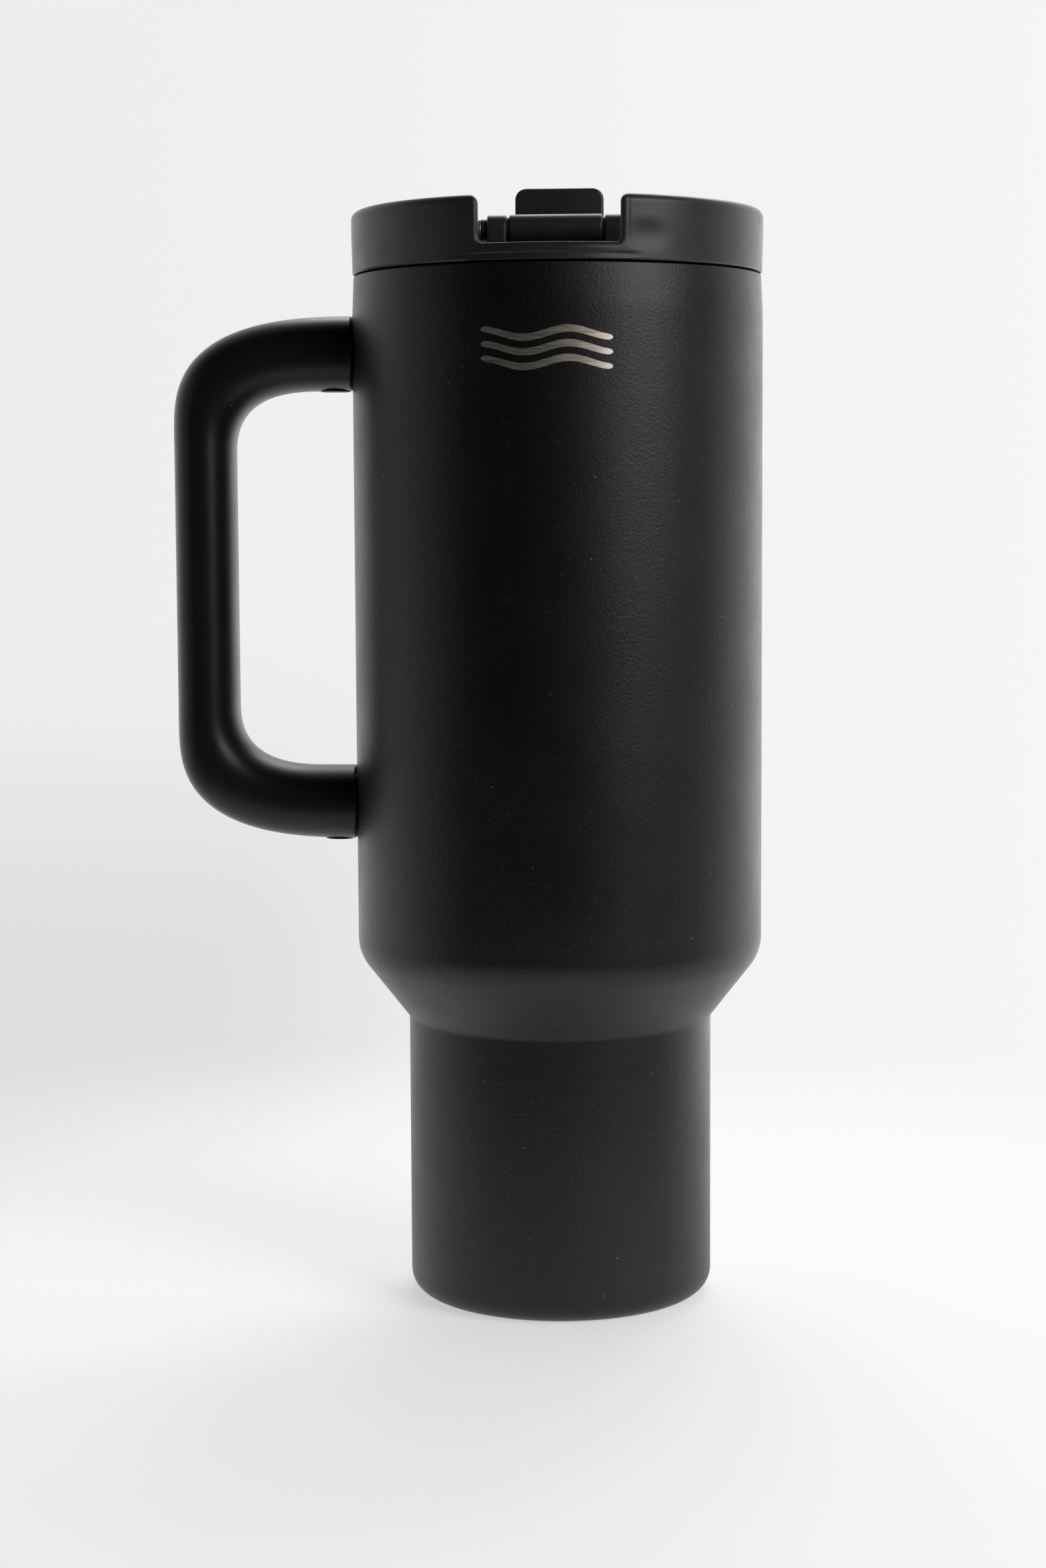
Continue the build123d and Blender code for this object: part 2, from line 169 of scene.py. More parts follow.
def built(name: str, grid: Array, wrap_rows: bool = False, wrap_columns: bool = True,
          sharp: float = 32.0) -> bpy.types.Object:
    """Make a mesh object from a grid of points in millimetres.

    Each square of neighbouring points is one face. Points that meet at seams and poles are
    merged, then the faces are turned outwards.

    Args:
        name: The piece's name.
        grid: Points, rows by columns by 3.
        wrap_rows: Whether the last row joins the first.
        wrap_columns: Whether the last column joins the first.
        sharp: Angle in degrees above which an edge stays sharp.

    Returns:
        The new object, linked to the scene.
    """
    rows, columns = grid.shape[:2]
    index = np.arange(rows * columns).reshape(rows, columns)
    if wrap_rows:
        index = np.vstack([index, index[:1]])
    if wrap_columns:
        index = np.hstack([index, index[:, :1]])
    quads = np.stack([index[:-1, :-1], index[1:, :-1], index[1:, 1:], index[:-1, 1:]], axis=-1)
    quads = quads.reshape(-1, 4).astype(np.int32)
    mesh = bpy.data.meshes.new(name)
    mesh.vertices.add(rows * columns)
    mesh.vertices.foreach_set("co", (grid * MM).astype(np.float32).ravel())
    mesh.loops.add(quads.size)
    mesh.loops.foreach_set("vertex_index", quads.ravel())
    mesh.polygons.add(len(quads))
    mesh.polygons.foreach_set("loop_start", np.arange(0, quads.size, 4, dtype=np.int32))
    mesh.update(calc_edges=True)
    tidy = bmesh.new()
    tidy.from_mesh(mesh)
    bmesh.ops.remove_doubles(tidy, verts=tidy.verts, dist=2e-6)
    bmesh.ops.dissolve_degenerate(tidy, edges=tidy.edges, dist=1e-7)
    bmesh.ops.recalc_face_normals(tidy, faces=tidy.faces)
    tidy.to_mesh(mesh)
    tidy.free()
    mesh.shade_smooth()
    mesh.set_sharp_from_angle(angle=radians(sharp))
    piece = bpy.data.objects.new(name, mesh)
    bpy.context.scene.collection.objects.link(piece)
    return piece


def lathe(profile: Array, segments: int = 160, centre: tuple[float, float] = (0.0, 0.0),
          shape: Optional[Callable[[Array, Array], Array]] = None) -> Array:
    """Turn a profile about an upright axis.

    The grid's point at profile point (r, z) and angle a is (r cos a, r sin a, z) plus the
    axis's place.

    Args:
        profile: Radius and height of each point.
        segments: Steps in a full turn.
        centre: X and Y of the axis.
        shape: Optional change of radius from angle and height, added to the radius.

    Returns:
        The grid, profile points by angles.
    """
    angle = np.linspace(0.0, TURN, segments, endpoint=False)[None, :]
    radius, height = profile[:, :1], profile[:, 1:]
    if shape is not None:
        radius = radius + shape(angle, height) * (radius > 0)
    radius = radius + 0.0 * angle
    height = height + 0.0 * angle
    x = centre[0] + radius * np.cos(angle)
    y = centre[1] + radius * np.sin(angle)
    return np.stack([x, y, height], axis=-1)


def spindle(profile: Array, y: float, z: float, segments: int = 64) -> Array:
    """Turn a profile about an axis along X: (x, y + r cos a, z + r sin a).

    Args:
        profile: X and radius of each point.
        y: The axis's Y.
        z: The axis's height.
        segments: Steps in a full turn.

    Returns:
        The grid, profile points by angles.
    """
    angle = np.linspace(0.0, TURN, segments, endpoint=False)[None, :]
    along = profile[:, :1] + 0.0 * angle
    radius = profile[:, 1:]
    return np.stack([along, y + radius * np.cos(angle), z + radius * np.sin(angle)], axis=-1)


def boxy_loop(half_w: Array, half_h: Array, radius: Array, steps: int = 8) -> Array:
    """Rounded rectangles, one for each row: corner centre plus radius times (cos, sin).

    Args:
        half_w: Half width of each row.
        half_h: Half height of each row.
        radius: Corner radius of each row.
        steps: Spans in each corner.

    Returns:
        Rows by points by 2, anticlockwise.
    """
    angle = (np.arange(4)[:, None] * pi / 2 + np.linspace(0, pi / 2, steps + 1)[None, :]).ravel()
    sign_w = np.repeat([1.0, -1.0, -1.0, 1.0], steps + 1)
    sign_h = np.repeat([1.0, 1.0, -1.0, -1.0], steps + 1)
    radius = np.minimum(radius, np.minimum(half_w, half_h))
    across = sign_w * (half_w - radius)[:, None] + radius[:, None] * np.cos(angle)
    up = sign_h * (half_h - radius)[:, None] + radius[:, None] * np.sin(angle)
    return np.stack([across, up], axis=-1)


def closed_ends(grid: Array, rings: int = 3) -> Array:
    """Close a tube's two ends with rings that shrink evenly to the end loop's middle.

    Args:
        grid: The tube, rows by columns by 3, with each row a loop.
        rings: Rings in each end.

    Returns:
        The grid with the end rings added.
    """
    part = np.linspace(0.0, 1.0, rings, endpoint=False)[:, None, None]
    first, last = grid[:1], grid[-1:]
    first_middle = first.mean(axis=1, keepdims=True)
    last_middle = last.mean(axis=1, keepdims=True)
    start = first_middle + (first - first_middle) * part
    finish = last_middle + (last - last_middle) * part[::-1]
    return np.concatenate([start, grid, finish])


# ------------------------------------------------------------------ shader groups
class Kind(Enum):
    """The socket types that a group of this file can have."""

    VALUE = "NodeSocketFloat"
    COLOUR = "NodeSocketColor"
    VECTOR = "NodeSocketVector"


class Group:
    """A shader group while it is built: its tree, its inputs and its outputs."""

    def __init__(self, name: str, inputs: dict[str, tuple[Kind, float]], outputs: dict[str, Kind]) -> None:
        """Start a group with named sockets.

        Args:
            name: The group's name.
            inputs: Name to type and default value.
            outputs: Name to type.
        """
        self.tree: Tree = bpy.data.node_groups.new(name, "ShaderNodeTree")
        for label, (kind, value) in inputs.items():
            socket = self.tree.interface.new_socket(label, in_out="INPUT", socket_type=kind.value)
            if kind is Kind.VALUE:
                socket.default_value = value
        for label, kind in outputs.items():
            self.tree.interface.new_socket(label, in_out="OUTPUT", socket_type=kind.value)
        self.inside = self.tree.nodes.new("NodeGroupInput")
        self.outside = self.tree.nodes.new("NodeGroupOutput")

    def take(self, label: str) -> Socket:
        """Give the group's input, as it is seen from inside.

        Args:
            label: The input's name.

        Returns:
            The socket to read from.
        """
        return self.inside.outputs[label]

    def give(self, label: str, source: Socket) -> None:
        """Connect a result to the group's output.

        Args:
            label: The output's name.
            source: The socket that holds the result.
        """
        self.tree.links.new(source, self.outside.inputs[label])


def put(tree: Tree, kind: str, settings: Optional[dict] = None, **inputs: object) -> bpy.types.ShaderNode:
    """Add a node, set its properties and feed its inputs.

    Args:
        tree: The tree that gets the node.
        kind: The node's type, without its ShaderNode prefix.
        settings: Property names to values.
        inputs: Input names (underscores for spaces, or in0, in1 for a number) to a value or a socket.

    Returns:
        The node.
    """
    node = tree.nodes.new("ShaderNode" + kind)
    for key, value in (settings or {}).items():
        setattr(node, key, value)
    for key, value in inputs.items():
        numbered = key.startswith("in") and key[2:].isdigit()
        slot = node.inputs[int(key[2:]) if numbered else key.replace("_", " ")]
        if isinstance(value, bpy.types.NodeSocket):
            tree.links.new(value, slot)
        else:
            slot.default_value = value
    return node


def maths(tree: Tree, operation: str, first: object, second: object = 0.0, clamp: bool = False) -> Socket:
    """Add a Math node.

    Args:
        tree: The tree that gets the node.
        operation: What it works out.
        first: A number or a socket.
        second: A number or a socket.
        clamp: Whether the result stays within 0 and 1.

    Returns:
        The result.
    """
    return put(tree, "Math", {"operation": operation, "use_clamp": clamp}, in0=first, in1=second).outputs[0]


def remap(tree: Tree, value: Socket, low: float, high: float, to_low: float, to_high: float) -> Socket:
    """Map a value's range smoothly onto another range.

    Args:
        tree: The tree that gets the node.
        value: The value.
        low: Where the range starts.
        high: Where it ends.
        to_low: Result at its start.
        to_high: Result at its end.

    Returns:
        The mapped value.
    """
    node = put(tree, "MapRange", {"interpolation_type": "SMOOTHSTEP"}, Value=value)
    for label, number in (("From Min", low), ("From Max", high), ("To Min", to_low), ("To Max", to_high)):
        node.inputs[label].default_value = number
    return node.outputs["Result"]


def grain_group() -> Tree:
    """Fine pebbled skin with slow cloudiness.

    Height is two octaves of noise at the grain's size; Cloud is noise some hundred times
    larger, for slow changes of tone.

    Returns:
        The group, with Size (grains per metre) in, and Height, Cloud and Speck out.
    """
    group = Group("grain", {"Size": (Kind.VALUE, 900.0)},
                  {"Height": Kind.VALUE, "Cloud": Kind.VALUE, "Speck": Kind.VALUE})
    tree = group.tree
    place = put(tree, "TexCoord").outputs["Object"]
    size = group.take("Size")
    fine = put(tree, "TexNoise", Vector=place, Scale=size, Detail=2.5, Roughness=0.55)
    group.give("Height", fine.outputs["Fac"])
    coarse = maths(tree, "MULTIPLY", size, 0.03)
    cloud = put(tree, "TexNoise", Vector=place, Scale=coarse, Detail=3.0, Roughness=0.6)
    group.give("Cloud", cloud.outputs["Fac"])
    speck = put(tree, "TexNoise", Vector=place, Scale=maths(tree, "MULTIPLY", size, 0.55), Detail=0.0)
    group.give("Speck", remap(tree, speck.outputs["Fac"], 0.74, 0.79, 0.0, 1.0))
    return tree


def dust_group() -> Tree:
    """Sparse dust: small round grains, thicker where slow noise lets them gather.

    A grain is a cell's centre nearer than a radius, and only a few cells, picked by their
    random colour, hold one.

    Returns:
        The group, with Amount in and Mask out.
    """
    group = Group("dust", {"Amount": (Kind.VALUE, 0.3)}, {"Mask": Kind.VALUE})
    tree = group.tree
    place = put(tree, "TexCoord").outputs["Object"]
    cells = put(tree, "TexVoronoi", Vector=place, Scale=950.0, Randomness=1.0)
    dot = remap(tree, cells.outputs["Distance"], 0.05, 0.16, 1.0, 0.0)
    pick = put(tree, "SeparateColor", Color=cells.outputs["Color"]).outputs[0]
    patch = put(tree, "TexNoise", Vector=place, Scale=38.0, Detail=2.0)
    gather = remap(tree, patch.outputs["Fac"], 0.45, 0.8, 0.0, 0.12)
    chance = maths(tree, "MULTIPLY", maths(tree, "ADD", gather, 0.006), group.take("Amount"))
    chosen = maths(tree, "LESS_THAN", pick, chance)
    group.give("Mask", maths(tree, "MULTIPLY", dot, chosen))
    return tree


def brushed_group() -> Tree:
    """Brushing that runs around an upright axis.

    The streaks are noise read at (angle * a little, height * a lot), so each is long along
    the turn and thin across it.

    Returns:
        The group, with Fineness (streaks per metre of height) in and Streak out.
    """
    group = Group("brushed", {"Fineness": (Kind.VALUE, 6000.0)}, {"Streak": Kind.VALUE})
    tree = group.tree
    place = put(tree, "TexCoord").outputs["Object"]
    parts = put(tree, "SeparateXYZ", Vector=place).outputs
    angle = maths(tree, "ARCTAN2", parts["Y"], parts["X"])
    level = put(tree, "CombineXYZ", X=parts["X"], Y=parts["Y"]).outputs[0]
    radius = put(tree, "VectorMath", {"operation": "LENGTH"}, in0=level).outputs["Value"]
    fineness = group.take("Fineness")
    where = put(tree, "CombineXYZ", X=maths(tree, "MULTIPLY", angle, 9.0),
                Y=maths(tree, "MULTIPLY", parts["Z"], fineness),
                Z=maths(tree, "MULTIPLY", radius, fineness)).outputs[0]
    streak = put(tree, "TexNoise", Vector=where, Scale=1.0, Detail=3.0, Roughness=0.6)
    group.give("Streak", streak.outputs["Fac"])
    return tree


class Groups:
    """The shader groups, each built once."""

    def __init__(self) -> None:
        """Build all groups."""
        self.grain = grain_group()
        self.dust = dust_group()
        self.brushed = brushed_group()


# ------------------------------------------------------------------ finishes
SPECK_TONE = (0.30, 0.30, 0.31)
DUST_TONE = (0.46, 0.46, 0.45)


def fresh(name: str) -> tuple[bpy.types.Material, Tree, bpy.types.ShaderNode]:
    """Start a material with only a Principled shader and its output.

    Args:
        name: The material's name.

    Returns:
        The material, its tree and the shader.
    """
    material = bpy.data.materials.new(name)
    material.use_nodes = True
    tree = material.node_tree
    tree.nodes.clear()
    shader = tree.nodes.new("ShaderNodeBsdfPrincipled")
    output = tree.nodes.new("ShaderNodeOutputMaterial")
    tree.links.new(shader.outputs["BSDF"], output.inputs["Surface"])
    return material, tree, shader


def placed(tree: Tree, group: Tree, **values: float) -> bpy.types.ShaderNode:
    """Place a group in a material with its own values.

    Args:
        tree: The material's tree.
        group: The group.
        values: Input names to numbers.

    Returns:
        The group's node.
    """
    node = tree.nodes.new("ShaderNodeGroup")
    node.node_tree = group
    for key, value in values.items():
        node.inputs[key].default_value = value
    return node


def mixed(tree: Tree, amount: Socket, first: object, second: object) -> Socket:
    """Mix two colours.

    Args:
        tree: The material's tree.
        amount: How far the second colour shows.
        first: A colour or a socket.
        second: A colour or a socket.

    Returns:
        The mixed colour.
    """
    node = put(tree, "Mix", {"data_type": "RGBA", "clamp_factor": True})
    tree.links.new(amount, node.inputs["Factor"])
    for slot, colour in ((node.inputs[6], first), (node.inputs[7], second)):
        if isinstance(colour, bpy.types.NodeSocket):
            tree.links.new(colour, slot)
        else:
            slot.default_value = (*colour, 1.0)
    return node.outputs[2]


@dataclass(frozen=True)
class Skin:
    """A dull coloured finish with grain: powder coat, moulded plastic or silicone.

    Attributes:
        name: The material's name.
        tone: Its colour.
        light_tone: The colour of its lighter clouds.
        roughness: Its roughness, and how far the clouds change it.
        grain: Grains per metre.
        relief: Height of the grain, in metres.
        dust: Amount of dust.
        speck: How far the grain's tips are lightened.
        specular: The shader's specular level.
        coat: Weight and roughness of a thin gloss over it.
        sheen: Weight of its soft sheen.
    """

    name: str
    tone: tuple[float, float, float]
    light_tone: tuple[float, float, float]
    roughness: tuple[float, float]
    grain: float
    relief: float
    dust: float = 0.0
    speck: float = 0.0
    specular: float = 0.5
    coat: tuple[float, float] = (0.0, 0.3)
    sheen: float = 0.0

    def make(self, groups: Groups) -> bpy.types.Material:
        """Build the material.

        Args:
            groups: The shared shader groups.

        Returns:
            The material.
        """
        material, tree, shader = fresh(self.name)
        grain = placed(tree, groups.grain, Size=self.grain)
        cloudy = mixed(tree, grain.outputs["Cloud"], self.tone, self.light_tone)
        specks = maths(tree, "MULTIPLY", grain.outputs["Speck"], self.speck)
        colour = mixed(tree, specks, cloudy, SPECK_TONE)
        if self.dust:
            dust = placed(tree, groups.dust, Amount=self.dust)
            colour = mixed(tree, dust.outputs["Mask"], colour, DUST_TONE)
        tree.links.new(colour, shader.inputs["Base Color"])
        low, change = self.roughness
        rough = remap(tree, grain.outputs["Cloud"], 0.3, 0.7, low, low + change)
        tree.links.new(rough, shader.inputs["Roughness"])
        bump = put(tree, "Bump", Strength=1.0, Distance=self.relief, Height=grain.outputs["Height"])
        tree.links.new(bump.outputs["Normal"], shader.inputs["Normal"])
        shader.inputs["Specular IOR Level"].default_value = self.specular
        shader.inputs["Coat Weight"].default_value = self.coat[0]
        shader.inputs["Coat Roughness"].default_value = self.coat[1]
        shader.inputs["Sheen Weight"].default_value = self.sheen
        return material


@dataclass(frozen=True)
class Metal:
    """Bare metal with brushing around the upright axis.

    Attributes:
        name: The material's name.
        tone: Its colour.
        dark_tone: The colour of its darker streaks.
        roughness: Its roughness, and how far the streaks change it.
        fineness: Streaks per metre of height.
        relief: Height of the streaks, in metres.
        anisotropy: How far the highlight stretches.
    """

    name: str
    tone: tuple[float, float, float]
    dark_tone: tuple[float, float, float]
    roughness: tuple[float, float]
    fineness: float = 6000.0
    relief: float = 2e-6
    anisotropy: float = 0.0

    def make(self, groups: Groups) -> bpy.types.Material:
        """Build the material.

        Args:
            groups: The shared shader groups.

        Returns:
            The material.
        """
        material, tree, shader = fresh(self.name)
        brushed = placed(tree, groups.brushed, Fineness=self.fineness)
        colour = mixed(tree, brushed.outputs["Streak"], self.dark_tone, self.tone)
        tree.links.new(colour, shader.inputs["Base Color"])
        low, change = self.roughness
        spread = remap(tree, brushed.outputs["Streak"], 0.3, 0.7, low, low + change)
        tree.links.new(spread, shader.inputs["Roughness"])
        bump = put(tree, "Bump", Strength=1.0, Distance=self.relief, Height=brushed.outputs["Streak"])
        tree.links.new(bump.outputs["Normal"], shader.inputs["Normal"])
        shader.inputs["Metallic"].default_value = 1.0
        shader.inputs["Anisotropic"].default_value = self.anisotropy
        return material


@dataclass(frozen=True)
class Finishes:
    """Every finish of the mug, by the record's slot that it belongs to."""

    powder: Skin = Skin(
        "matte_black_powder_coat", (0.0032, 0.0032, 0.0035), (0.0046, 0.0046, 0.0049), (0.37, 0.06),
        1500.0, 7e-5, dust=0.18, speck=0.03, specular=0.44)
    handle: Skin = Skin(
        "satin_black_handle", (0.0085, 0.0085, 0.0090), (0.0105, 0.0105, 0.0109), (0.34, 0.06),
        2600.0, 1.2e-5, dust=0.12, speck=0.01, specular=0.3)
    lid: Skin = Skin(
        "satin_black_lid", (0.0210, 0.0210, 0.0214), (0.0250, 0.0249, 0.0251), (0.36, 0.07),
        3200.0, 0.8e-5, dust=0.12, speck=0.01, specular=0.47)
    silicone: Skin = Skin(
        "soft_black_silicone", (0.020, 0.020, 0.020), (0.030, 0.030, 0.029), (0.58, 0.10),
        1800.0, 1.0e-5, dust=0.9, specular=0.4, sheen=0.15)
    glass: Skin = Skin(
        "sealing_glass", (0.10, 0.13, 0.15), (0.16, 0.19, 0.21), (0.12, 0.08),
        900.0, 1.0e-5, coat=(0.6, 0.08))
    getter: Skin = Skin(
        "sintered_getter", (0.16, 0.16, 0.165), (0.24, 0.24, 0.24), (0.72, 0.1), 2400.0, 6e-5)
    steel: Metal = Metal(
        "brushed_steel", (0.62, 0.605, 0.58), (0.42, 0.41, 0.39), (0.22, 0.14), 5200.0, 3e-6, 0.4)
    mark: Metal = Metal(
        "etched_steel", (0.96, 0.87, 0.74), (0.62, 0.55, 0.46), (0.29, 0.14), 4200.0, 4e-6)
    pin: Metal = Metal(
        "polished_pin", (0.50, 0.54, 0.62), (0.40, 0.43, 0.50), (0.30, 0.06), 3000.0, 1e-6)


class Workshop:
    """Makes each material once and hands finished pieces to the frame."""

    def __init__(self) -> None:
        """Build the groups and all materials."""
        groups = Groups()
        finishes = Finishes()
        self.slots: dict[str, bpy.types.Material] = {
            "black_paint": finishes.powder.make(groups),
            "handle_black": finishes.handle.make(groups),
            "lid_black": finishes.lid.make(groups),
            "black_silicone": finishes.silicone.make(groups),
            "seal_glass": finishes.glass.make(groups),
            "getter_grey": finishes.getter.make(groups),
            "bare_steel": finishes.steel.make(groups),
            "pin_steel": finishes.pin.make(groups),
        }
        self.mark = finishes.mark.make(groups)

    def hand_over(self, piece: bpy.types.Object, body: str, slot: str, *nodes: str,
                  material: Optional[bpy.types.Material] = None) -> bpy.types.Object:
        """Dress a new piece, join it to its body and let it stand for the frame's nodes.

        Args:
            piece: The finished object.
            body: The body that it moves with.
            slot: The record's material slot.
            nodes: The nodes that it replaces.
            material: A material other than the slot's own.

        Returns:
            The same object.
        """
        piece.data.materials.clear()
        piece.data.materials.append(material or self.slots[slot])
        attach(piece, body)
        if nodes:
            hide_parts(*nodes)
        log.info("%s: %d faces, moves with %s", piece.name, len(piece.data.polygons), body)
        return piece

    def dress_node(self, node: str, slot: str) -> None:
        """Give a node that stays as the frame has it its procedural material.

        Args:
            node: The node's name.
            slot: The record's material slot.
        """
        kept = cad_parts[node]
        kept.data.materials.clear()
        kept.data.materials.append(self.slots[slot])
        log.info("%s: kept from the frame, %s", node, slot)


# ------------------------------------------------------------------ thread
THREAD_LOW = 238.6          # both threads start here, so that the lid's meets the neck's


@dataclass(frozen=True)
class Thread:
    """The lid's two-start thread, in millimetres.

    Attributes:
        low: Height at which each start begins.
        depth: How far the rib stands from the wall; negative points inward.
        phase: Angle in degrees at which the first start begins.
        lead: Rise in a full turn.
        turn: Part of a turn that each start covers.
        fade: Part of a turn over which each end runs out.
        root: Half the rib's height at the wall.
        crest: Half the rib's height at its top.
        starts: How many ribs share the thread.
    """

    low: float
    depth: float
    phase: float
    lead: float = 8.0
    turn: float = 0.7
    fade: float = 0.025
    root: float = 0.85
    crest: float = 0.4
    starts: int = 2

    def rise(self, angle: Array, height: Array) -> Array:
        """How far the wall stands out at an angle and height.

        Each rib is a ramp in height: full depth within its crest, none past its root. Its
        middle is at low + lead * (part of a turn since its start), and its two ends fade.

        Args:
            angle: Angles in radians.
            height: Heights.

        Returns:
            The change of radius.
        """
        total = np.zeros(np.broadcast(angle, height).shape)
        for start in range(self.starts):
            part = np.mod(angle - radians(self.phase) - start * TURN / self.starts, TURN) / TURN
            off = np.abs(height - (self.low + self.lead * part))
            rib = np.clip((self.root - off) / (self.root - self.crest), 0.0, 1.0)
            ends = ease(0.0, self.fade, part) * ease(self.turn, self.turn - self.fade, part)
            total = np.maximum(total, rib * ends)
        return self.depth * total


# ------------------------------------------------------------------ vessel
@dataclass
class Vessel:
    """The painted shell with its mark, the steel cup inside and what closes its base.

    Sizes are in millimetres, and the main radius and height come from the frame. The body
    tapers by taper_in above taper_z, cup_gap is the distance from the painted outline to the
    cup, and mark_angles are degrees from the front, to the left and to the right.
    """

    shop: Workshop
    base_radius: float = 37.5
    wall: float = 0.6
    paint_sink: float = 0.035
    taper_z: float = 241.0
    taper_in: float = 0.42
    taper_round: float = 60.0
    neck_z: float = 69.7
    shoulder_z: float = 85.7
    foot_round: float = 5.5
    neck_round: float = 2.5
    shoulder_round: float = 11.0
    lip_round: float = 0.28
    cup_gap: float = 3.3
    cup_wall: float = 0.5
    cup_floor: float = 8.0
    thread_depth: float = 1.0
    thread_phase: float = 90.0
    neck_reach: float = 9.0
    rim_round: float = 0.5
    edge_round: float = 0.12
    play: float = 0.05
    mark_low: float = 226.2
    mark_high: float = 236.6
    mark_angles: tuple[float, float] = (-18.3, 17.0)
    mark_lines: int = 3
    mark_sink: float = 0.004
    mark_thick: float = 0.12
    disc_round: float = 0.35
    disc_top_round: float = 0.15
    dish: float = 0.30
    stamp_r: float = 23.0
    stamp_depth: float = 0.28
    radius: float = field(init=False)
    mouth_z: float = field(init=False)

    def __post_init__(self) -> None:
        """Read the main sizes from the frame."""
        high = span("outer_shell")[1]
        self.radius, self.mouth_z = float(high[0]), float(high[2])

    def outline(self, inset: float, floor_z: float, top_z: float, start_r: float) -> Array:
        """The body's outline moved inward, from its floor to its top.

        The cone's corners slide up by the inset times the tangent of half the cone's slope, so
        that both outlines stay parallel.

        Args:
            inset: Distance inside the painted outline.
            floor_z: Height of the flat floor.
            top_z: Height of the top.
            start_r: Radius at which the floor begins.

        Returns:
            Radius and height of each point.
        """
        slope = atan2(self.radius - self.base_radius, self.shoulder_z - self.neck_z)
        slide = inset * tan(slope / 2)
        corners = [
            (start_r, floor_z),
            (self.base_radius - inset, floor_z),
            (self.base_radius - inset, self.neck_z + slide),
            (self.radius - inset, self.shoulder_z + slide),
            (self.radius - inset, self.taper_z),
            (self.radius - inset - self.taper_in, top_z),
        ]
        radii = [self.foot_round - min(inset, 1.0), self.neck_round + inset,
                 self.shoulder_round - inset, self.taper_round]
        return rounded_line(corners, radii, 12)

    def shell(self) -> None:
        """Painted shell: its outline and the same outline moved in by the wall, turned."""
        disc_r = float(span("base_disc")[1][0]) + self.play
        outside = self.outline(self.paint_sink, 0.0, self.mouth_z, disc_r)
        inside = self.outline(self.wall, self.wall, self.mouth_z, disc_r)
        lip = rounded_line([outside[-2], outside[-1], inside[-1], inside[-2]], [self.lip_round, 0.1], 6)
        profile = np.vstack([outside[:-1], lip[1:-1], inside[-2::-1]])
        piece = built("painted_shell", lathe(filled(profile, 9.0), 288), wrap_rows=True)
        self.shop.hand_over(piece, "mug", "black_paint", "outer_shell", "outer_base")

    def mark(self) -> None:
        """Three stacked wavy lines of bare steel that lie in the paint.

        Along each line the angle runs evenly and the height follows a sine. Its half width
        swells in the middle and closes at both ends, and its section is a thin bar whose top
        is the body's radius.
        """
        part = np.linspace(0.0, 1.0, 121)
        low, high = np.radians(self.mark_angles)
        angle = low + (high - low) * part
        pitch = (self.mark_high - self.mark_low) / (self.mark_lines + 0.15)
        end = np.clip(np.minimum(part, 1 - part) / 0.045, 0, 1)
        half = 0.26 * pitch * np.sqrt(end * (2 - end)) * (0.78 + 0.22 * np.sin(pi * part))
        loop_up = np.array([-1.0, -0.5, 0.0, 0.5, 1.0, 1.0, 0.5, 0.0, -0.5, -1.0])
        loop_out = np.repeat([0.0, -self.mark_thick], 5)
        for line in range(self.mark_lines):
            middle = self.mark_low + pitch * (line + 0.58)
            wave = middle + 0.30 * pitch * np.sin(TURN * 1.5 * part + pi * 0.5)
            height = wave[:, None] + half[:, None] * loop_up
            radius = self.radius - self.mark_sink + loop_out + 0.0 * height
            x = radius * np.sin(angle)[:, None]
            y = -radius * np.cos(angle)[:, None]
            grid = np.stack([x, y, height], axis=-1)
            piece = built(f"mark_line_{line + 1}", closed_ends(grid, 2), sharp=40.0)
            self.shop.hand_over(piece, "mug", "bare_steel", material=self.shop.mark)

    def cup(self) -> None:
        """Steel cup: a thin wall turned about the axis, its thread rolled into the neck."""
        inside = self.outline(self.cup_gap + self.cup_wall, self.cup_floor, self.mouth_z, 0.0)
        outside = self.outline(self.cup_gap, self.cup_floor - self.cup_wall, self.mouth_z - self.wall, 0.0)
        neck_r = self.radius - self.cup_gap - self.cup_wall
        inside = inside[inside[:, 1] < self.taper_z - 1.0]
        neck_rise = np.linspace(self.taper_z - self.neck_reach, self.mouth_z - 0.8, 70)
        neck = np.column_stack([np.full(70, neck_r), neck_rise])
        inside = np.vstack([inside[inside[:, 1] < neck[0, 1]], neck])
        flange_r = self.radius - self.taper_in - self.wall - self.play
        under_z = self.mouth_z - self.wall
        back_r = neck_r + self.cup_wall
        rim = rounded_line([neck[-1], (neck_r, self.mouth_z), (flange_r, self.mouth_z),
                            (flange_r, under_z), (back_r, under_z), (back_r, self.taper_z)],
                           [self.rim_round, self.edge_round, self.edge_round, 0.0], 5)
        back = outside[outside[:, 1] < self.taper_z - 1.0][::-1]
        profile = filled(np.vstack([inside, rim[1:], back]), 7.0)
        thread = Thread(THREAD_LOW, -self.thread_depth, self.thread_phase)
        grid = lathe(profile, 256)
        on_neck = np.abs(profile[:, 0] - neck_r) < 0.01
        grid[on_neck] = lathe(profile, 256, shape=thread.rise)[on_neck]
        piece = built("steel_cup", grid)
        self.shop.hand_over(piece, "mug", "bare_steel", "inner_vessel", "inner_base", "inner_floor")

